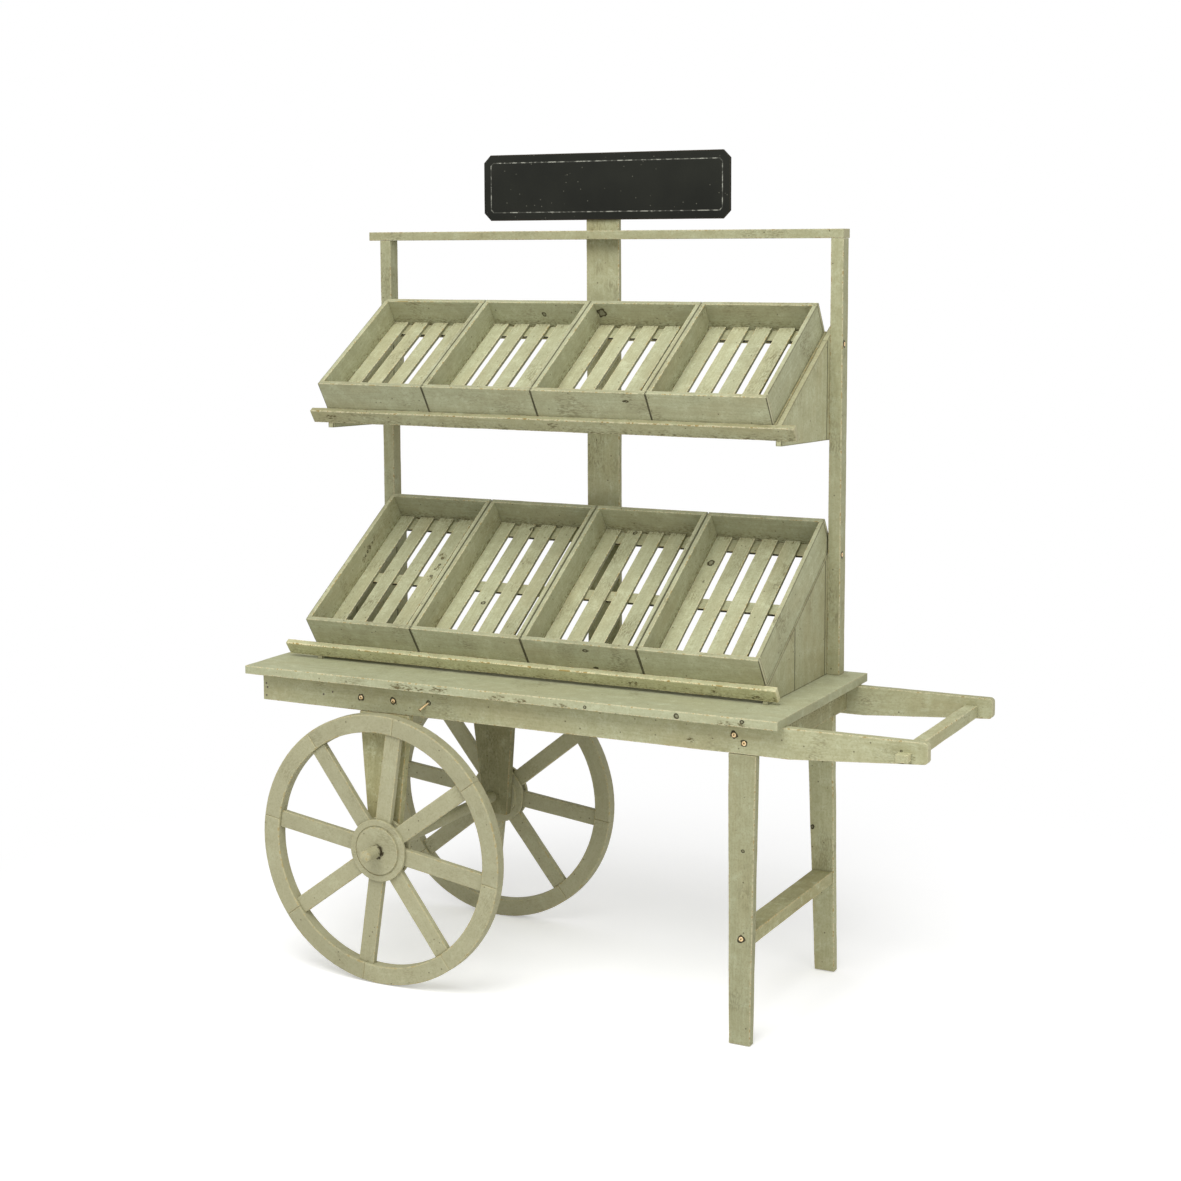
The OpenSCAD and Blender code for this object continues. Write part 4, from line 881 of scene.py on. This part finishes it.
# %% Shape of a shelf and of a cheek
SHELVES = {
    "upper": dict(slope=32.0, y=-59.99, z=1133.0, bottom=(1096.0, 1086.0), seams=[180.0],
                  tray=(247.0, 314.0, 66.0), pitch=248.0, lip=(-662.0, 412.0), lip_tone=-0.9,
                  cheek_tone=0.3),
    "lower": dict(slope=33.5, y=-118.02, z=651.97, bottom=(619.0, 619.0), seams=[18.8, 180.0],
                  tray=(249.5, 405.0, 68.0), pitch=251.5, lip=(-695.0, 402.0), lip_tone=1.9,
                  cheek_tone=-0.5)}
LIP_BELOW, LIP_THICK, CHEEK_THICK = 25.0, 12.0, 12


def shelf(slope, y, z):
    """The turn and the shift that stand a flat drawing on a shelf."""
    a = math.radians(slope)
    turn = np.array([[1, 0, 0], [0, math.cos(a), -math.sin(a)], [0, math.sin(a), math.cos(a)]])
    return turn, np.array([0, y, z])


def cheek_boards(x, slope, y, z, bottom, seams, tone):
    """The boards of one cheek: the outline of nose, lip's back, slope and post, cut at each seam. The
    lip's back is square to the slope, LIP_BELOW long, and its front lies LIP_THICK down the slope."""
    a = math.radians(slope)
    behind = (y + LIP_BELOW * math.sin(a), z - LIP_BELOW * math.cos(a))
    nose = (behind[0] - LIP_THICK * math.cos(a), behind[1] - LIP_THICK * math.sin(a))
    edges = [None] + seams + [POST_BACK]
    fall = (bottom[1] - bottom[0]) / (POST_BACK - nose[0])
    boards = []
    for start, end in zip(edges, edges[1:]):
        right = end if end == POST_BACK else end - JOINT / 2
        left = nose[0] if start is None else start + JOINT / 2
        under = [(w, bottom[0] + fall * (w - nose[0])) for w in (left, right)]
        tip = (right, z + (right - y) * math.tan(a))
        rest = [(y, z), behind, nose] if start is None else [(left, z + (left - y) * math.tan(a))]
        boards.append(slab(under + [tip] + rest, CHEEK_THICK, (x, 0, 0), [(0, 1, 0), (0, 0, 1), (1, 0, 0)],
                           along=90, radii=0.8, edge=0.6, wear=0.7, ends=-0.5, rims=(-0.8, -0.8),
                           tone=(tone - 0.2, tone + 0.2)))
    return boards


print("two shelves, whose slopes are", [s["slope"] for s in SHELVES.values()], "degrees")

# %% Cheeks, lips and bearers
CHEEKS, LIP_ABOVE = {"left": -627.0, "right": 369.0}, 5.0
BEARER_WIDE, FRONT_BEARER_DEEP, BACK_BEARER_DEEP = 30, 20, 12
RUNNER_WIDE, RUNNER_DEEP = 20, 14

for level, s in SHELVES.items():
    place = shelf(s["slope"], s["y"], s["z"])
    for hand, x in CHEEKS.items():
        boards = cheek_boards(x, s["slope"], s["y"], s["z"], s["bottom"], s["seams"], s["cheek_tone"])
        piece(f"{level}_{hand}_cheek_boards", boards, "sage_pine", f"{level}_{hand}_cheek")
    front = beam((s["lip"][0], -LIP_THICK, -LIP_BELOW), (s["lip"][1], 0, LIP_ABOVE), place, edge=0.8,
                 wear=1.5, wobble=0.8, rims=(1.5, 1), nook=(0, 1, 0, 0), tone=(s["lip_tone"], s["lip_tone"]))
    piece(level + "_lip_board", [front], "sage_pine", level + "_lip")
    x0, x1, length = CHEEKS["left"] + CHEEK_THICK + JOINT, CHEEKS["right"] - JOINT, s["tray"][1]
    bearers = [beam((x0, JOINT, -FRONT_BEARER_DEEP), (x1, BEARER_WIDE, 0), place),
               beam((x0, length - BEARER_WIDE, -BACK_BEARER_DEEP), (x1, length, 0), place)]
    piece(level + "_bearer_bars", bearers, "under_pine", level + "_bearers")
    if level == "upper":
        runner = beam((x1 - RUNNER_WIDE, BEARER_WIDE + JOINT, -RUNNER_DEEP),
                      (x1, length - BEARER_WIDE - JOINT, 0), place)
        piece("upper_runner_bar", [runner], "under_pine", "upper_runner")
print(len(made_pieces), "pieces: with cheeks, lips and bearers")

# %% [markdown]
# ## Trays
# A tray is four thin walls nailed round a floor of four slats on two or three battens, open at the
# right where the fourth slat ends short of the wall. All eight follow one rule, so one function makes
# them, and the chance numbers give every board its own edge, stripe and tone.

# %% Eight trays
WALL, SLAT_WIDE, SLAT_PITCH, SLAT_THICK = 9.5, 33.5, 49.5, 7.0
BATTEN_WIDE, MID_BATTEN, BATTEN_THICK = 35.0, 28.0, 6.0
FIRST_X, SEAT = -626.0, 0.3
INSIDE_ONLY = 10  # the dirt line moves away by this many millimetres for each one into the board


def tray(x, size, place, middle_batten):
    """Walls, slats and battens of one tray, drawn flat on its shelf from its left front corner. Dirt
    gathers inside: along the floor on the back and left walls, and at the back end of each slat."""
    wide, long, tall = size
    y = z = SEAT
    right, back, top = x + wide, y + long, z + tall
    inside = WALL + JOINT
    near, far = y + inside, back - inside
    slat_low, slat_top = z + BATTEN_THICK, z + BATTEN_THICK + SLAT_THICK
    thin = dict(edge=0.5, wear=0.7, wobble=0.35)
    wall = dict(thin, tone=(-0.7, 0.3))
    left_wall = dict(thin, tone=(0.3, 1.2), rims=(-0.6, 1))
    right_wall = dict(thin, tone=(0.2, 1.0), rims=(1, -0.6))
    floor_high = BATTEN_THICK + SLAT_THICK
    walls = [beam((x, y, z), (right, y + WALL, top), place, ends=-0.9, **wall),
             beam((x, back - WALL, z), (right, back, top), place, ends=-0.9,
                  nook=(0, 1, INSIDE_ONLY, -floor_high), **wall),
             beam((x, near, z), (x + WALL, far, top), place,
                  nook=(0, 1, -INSIDE_ONLY, WALL * INSIDE_ONLY - floor_high), **left_wall),
             beam((right - WALL, near, z), (right, far, top), place, **right_wall)]
    # The slats' long sides are darkened with painted shade where they face the gaps of the floor
    slats = [beam((a, near, slat_low), (a + SLAT_WIDE, far, slat_top), place, sides=0.42,
                  nook=(-1, 0, -INSIDE_ONLY, long - 2 * inside + SLAT_THICK * INSIDE_ONLY),
                  tone=(0.9, 1.7), **thin)
             for a in x + inside + SLAT_PITCH * np.arange(4)]
    spans = [(inside, inside + BATTEN_WIDE), (long - inside - BATTEN_WIDE, long - inside)]
    if middle_batten:
        spans.append(((long - MID_BATTEN) / 2, (long + MID_BATTEN) / 2))
    # The battens' long sides are dark all over: painted shade under the slats
    battens = [beam((x + inside, y + a, z), (right - inside, y + b, slat_low), place, edge=0.4,
                    wear=0.5, sides=1.0) for a, b in spans]
    return walls, slats, battens


for level, s in SHELVES.items():
    place = shelf(s["slope"], s["y"], s["z"])
    for i in range(4):
        body = f"{level}_tray_{i + 1}"
        walls, slats, battens = tray(FIRST_X + i * s["pitch"], s["tray"], place, level == "lower")
        piece(body + "_wall_boards", walls, "tray_pine", body + "_walls", body)
        piece(body + "_floor_boards", slats, "tray_pine", body + "_slats", body)
        piece(body + "_batten_bars", battens, "batten_pine", body + "_battens", body)
print(len(made_pieces), "pieces: with the trays")

# %% [markdown]
# ## Screws and nails
# The screws are small domed brass ones with a cross recess. A head is a grid of distance from the
# middle and angle round it, whose height is a dome less the cross, so the recess is cut in the shape
# itself. One screw was left half driven at a slant; only on that one is the threaded shank made, the
# others' are inside the wood. Nail heads are low discs.

# %% Shape of a screw and of a nail
HEAD_R, HEAD_HIGH, DOME, RECESS, ARM_LONG, ARM_HALF = 4.5, 1.8, 0.72, 1.0, 2.5, 0.5
SHANK_R, THREAD_PITCH, THREAD_DEEP = 2.0, 2.2, 0.45
NAIL_R, NAIL_HIGH = 2.0, 0.5
HEART = 0.03  # radius of the small cap in the middle of a head


def set_on(heights, radii, point, outward, spin, shaded_part=0.0):
    """Stands a grid of radius and height on a point of a face, its middle line along `outward`.
    `shaded_part` says where the metal gets painted shade."""
    w = np.asarray(outward, float) / np.linalg.norm(outward)
    side = np.cross(w, (0, 0, 1) if abs(w[2]) < 0.9 else (1, 0, 0))
    side /= np.linalg.norm(side)
    over = np.cross(w, side)
    count = heights.shape[1]
    t = (np.linspace(0, 2 * np.pi, count, endpoint=False) + spin)[None, :, None]
    r, h = radii[..., None], heights[..., None]
    verts = np.asarray(point, float) + r * np.cos(t) * side + r * np.sin(t) * over + h * w
    index = np.arange(heights.size).reshape(heights.shape)
    nxt = np.roll(index, -1, 1)
    quads = np.stack([index[1:], nxt[1:], nxt[:-1], index[:-1]], -1).reshape(-1, 4).tolist()
    faces = quads + [index[0].tolist(), index[-1, ::-1].tolist()]
    size = heights.size
    cut = (shaded_part + 0 * heights).ravel()
    return (verts.reshape(-1, 3), faces, verts.reshape(-1, 3) * MM, np.zeros(size), cut, *np.zeros((3, size)))


def screw_head(point, outward):
    """Dome: height falls with the square of the distance. Cross: a step down where one of the two
    distances along its arms is under its half width and the other under its length."""
    t = np.linspace(0, 2 * np.pi, 64, endpoint=False)[None, :]
    r = np.r_[HEART, np.linspace(0.25, HEAD_R, 18), HEAD_R][:, None]
    a, b = np.abs(r * np.cos(t)), np.abs(r * np.sin(t))
    narrow, short = ARM_HALF - np.minimum(a, b), ARM_LONG - np.maximum(a, b)
    cross = np.clip(narrow * 5 + 0.5, 0, 1) * np.clip(short * 2, 0, 1)
    height = HEAD_HIGH * (1 - DOME * (r / HEAD_R) ** 2) - RECESS * cross
    height[-1] = 0
    # Painted shade in the cross recess and round the rim of the head
    shaded_part = np.maximum(cross, np.clip((r - 0.9 * HEAD_R) * 2, 0, 1))
    return set_on(height, r + 0 * t, point, outward, chance.uniform(0, np.pi / 2), shaded_part)


def threaded_shank(point, outward, length):
    """A shank whose radius falls and rises once per turn along a helix: radius by height plus angle."""
    t = np.linspace(0, 2 * np.pi, 24, endpoint=False)[None, :]
    h = np.linspace(-1, length, 90)[:, None]
    phase = (h / THREAD_PITCH + t / (2 * np.pi)) % 1
    r = SHANK_R - THREAD_DEEP * np.abs(2 * phase - 1)
    return set_on(h[::-1] + 0 * t, r[::-1], point, outward, 0)


def nail_head(point, outward):
    """A low disc: top, rounded rim, side."""
    r = np.array([[HEART], [NAIL_R - 0.3], [NAIL_R], [NAIL_R]])
    h = np.array([[NAIL_HIGH], [NAIL_HIGH], [NAIL_HIGH - 0.2], [0]])
    t = np.zeros((1, 16))
    return set_on(h + t, r + t, point, outward, 0)


print("one turn of thread is", THREAD_PITCH, "mm high and a nail's head", 2 * NAIL_R, "mm across")

# %% Set the screws and nails
# Places on the sides are X and Z; those of the bracket screws differ, as the two brackets do
BRACKET_SCREWS = {-1: [(-459, 570.7), (-383, 570.7)], 1: [(-333, 570.7), (-409, 570.7)]}
RAIL_SCREWS, LEG_SCREW = [(352, 578.8), (372, 564.9)], (374.1, 200)
RAIL_NAILS = [(-689.9, 578.8), (-687.2, 570.7), (-689.9, 553.9), (-549, 568.9), (-527, 575.9)]
POST_SCREW_Y, POST_SCREWS_Z = 202.5, (860, 1275)
STRAY, OUT_LENGTH, TILT, SWING = np.array([-302.0, -208.0, 574.2]), 21.0, 37.6, -50.4

screw_heads, nail_heads = [], []
for side in (-1, 1):
    for x, z in BRACKET_SCREWS[side] + RAIL_SCREWS:
        screw_heads.append(screw_head((x, side * RAIL_OUT, z), (0, side, 0)))
    x, z = LEG_SCREW
    screw_heads.append(screw_head((x, side * outer_face(z), z), (0, side, LEAN)))
    for x, z in RAIL_NAILS:
        nail_heads.append(nail_head((x, side * RAIL_OUT, z), (0, side, 0)))
for x, out in ((POST_X["right_post"][1], 1), (POST_X["left_post"][0], -1)):
    screw_heads += [screw_head((x, POST_SCREW_Y, z), (out, 0, 0)) for z in POST_SCREWS_Z]
tilt, swing = math.radians(TILT), math.radians(SWING)
inward = np.array([-math.cos(tilt) * math.sin(swing), math.cos(tilt) * math.cos(swing), math.sin(tilt)])
screw_heads.append(screw_head(STRAY - OUT_LENGTH * inward, -inward))
screw_heads.append(threaded_shank(STRAY, -inward, OUT_LENGTH + 0.5))
piece("brass_screws", screw_heads, "brass", "screws")
piece("iron_nails", nail_heads, "nail_iron", "nails")
print(len(made_pieces), "pieces:", len(screw_heads) - 1, "screws and", len(nail_heads), "nails")

# %% [markdown]
# ## Floor and light
# The photograph is a plain studio one on white. The floor is a wide pale disc that turns pure white
# away from the cart, so no horizon shows, and keeps the soft shadow under it. The world is white where
# the camera and reflections see it, and a weaker light where it lights the wood. One wide soft box above
# and in front makes the top faces the lightest, as in the photograph, and a weaker one on the right
# lights the ends of the boards. Both are lamps with an area, because a small lamp would cast hard edges.

# %% Lay the floor
FLOOR_R, SHADOW_R, WHITE_R, FLOOR_LIFT = 14.0, 0.5, 1.7, 0.32
WHITE, BOARD_WHITE = (1, 1, 1, 1), (0.9, 0.9, 0.9, 1)


def seen_directly(t):
    """1 for camera, glossy and transmission rays, 0 for the rays that light the wood."""
    path = add(t, "LightPath")
    first = add(t, "Math", {0: path.outputs["Is Camera Ray"], 1: path.outputs["Is Glossy Ray"]},
                operation="MAXIMUM")
    return add(t, "Math", {0: first, 1: path.outputs["Is Transmission Ray"]}, operation="MAXIMUM")


def pale_floor(name):
    """White board near the cart, and beyond a radius plain white to the camera."""
    material, t = bare_material(name)
    place = add(t, "TexCoord").outputs["Object"]
    away = add(t, "VectorMath", {0: place, 1: (0, 0, 0)}, operation="DISTANCE")
    far = add(t, "MapRange", {"Value": away.outputs["Value"], "From Min": SHADOW_R, "From Max": WHITE_R},
              interpolation_type="SMOOTHSTEP")
    white = add(t, "Math", {0: far, 1: seen_directly(t)}, operation="MULTIPLY")
    board = add(t, "BsdfDiffuse", {"Color": BOARD_WHITE})
    glow = add(t, "Emission", {"Color": WHITE, "Strength": 1.0})
    lift = add(t, "Emission", {"Color": WHITE, "Strength": FLOOR_LIFT})
    lifted = add(t, "AddShader", {0: board, 1: lift})
    near = add(t, "MixShader", {0: seen_directly(t), 1: board, 2: lifted})
    both = add(t, "MixShader", {0: white, 1: near, 2: glow})
    add(t, "OutputMaterial", {"Surface": both})
    return material


ring = np.linspace(0, 2 * np.pi, 64, endpoint=False)
floor_points = np.stack([FLOOR_R * np.cos(ring), FLOOR_R * np.sin(ring), 0 * ring - MM], -1)
floor_mesh = bpy.data.meshes.new("floor")
floor_mesh.from_pydata(floor_points, [], [list(range(64))])
floor_mesh.materials.append(pale_floor("pale_floor"))
floor = bpy.data.objects.new("floor", floor_mesh)
bpy.context.scene.collection.objects.link(floor)
print("the floor is", 2 * FLOOR_R, "m across")

# %% Light the world
SKY = 0.58

world = bpy.data.worlds.new("studio")
bpy.context.scene.world = world
world.use_nodes = True
sky = world.node_tree
sky.nodes.clear()
lit = add(sky, "Background", {"Color": WHITE, "Strength": SKY})
seen = add(sky, "Background", {"Color": WHITE, "Strength": 1.0})
both = add(sky, "MixShader", {0: seen_directly(sky), 1: lit, 2: seen})
add(sky, "OutputWorld", {"Surface": both})
print("the world lights the wood with", SKY, "of the white that the camera sees")

# %% Two soft boxes
def soft_box(name, place, aim, size, power):
    """A square lamp at a place, turned towards a point, so many metres wide and watts strong."""
    data = bpy.data.lights.new(name, "AREA")
    data.shape, data.size, data.energy = "SQUARE", size, power
    made = bpy.data.objects.new(name, data)
    made.location = place
    made.rotation_mode = "QUATERNION"
    made.rotation_quaternion = (Vector(aim) - Vector(place)).to_track_quat("-Z", "Y")
    bpy.context.scene.collection.objects.link(made)


soft_box("overhead_soft_box", (0.2, -2.5, 4.0), aim=(0, 0, 0.7), size=2.8, power=125)
soft_box("right_soft_box", (3.9, -2.2, 2.0), aim=(0, 0, 0.8), size=2.4, power=32)
bpy.context.scene.view_settings.view_transform = "Standard"
print("two soft boxes")

# %% [markdown]
# ## The count of faces

# %% Count the faces
print("faces:", sum(len(p.data.polygons) for p in made_pieces))
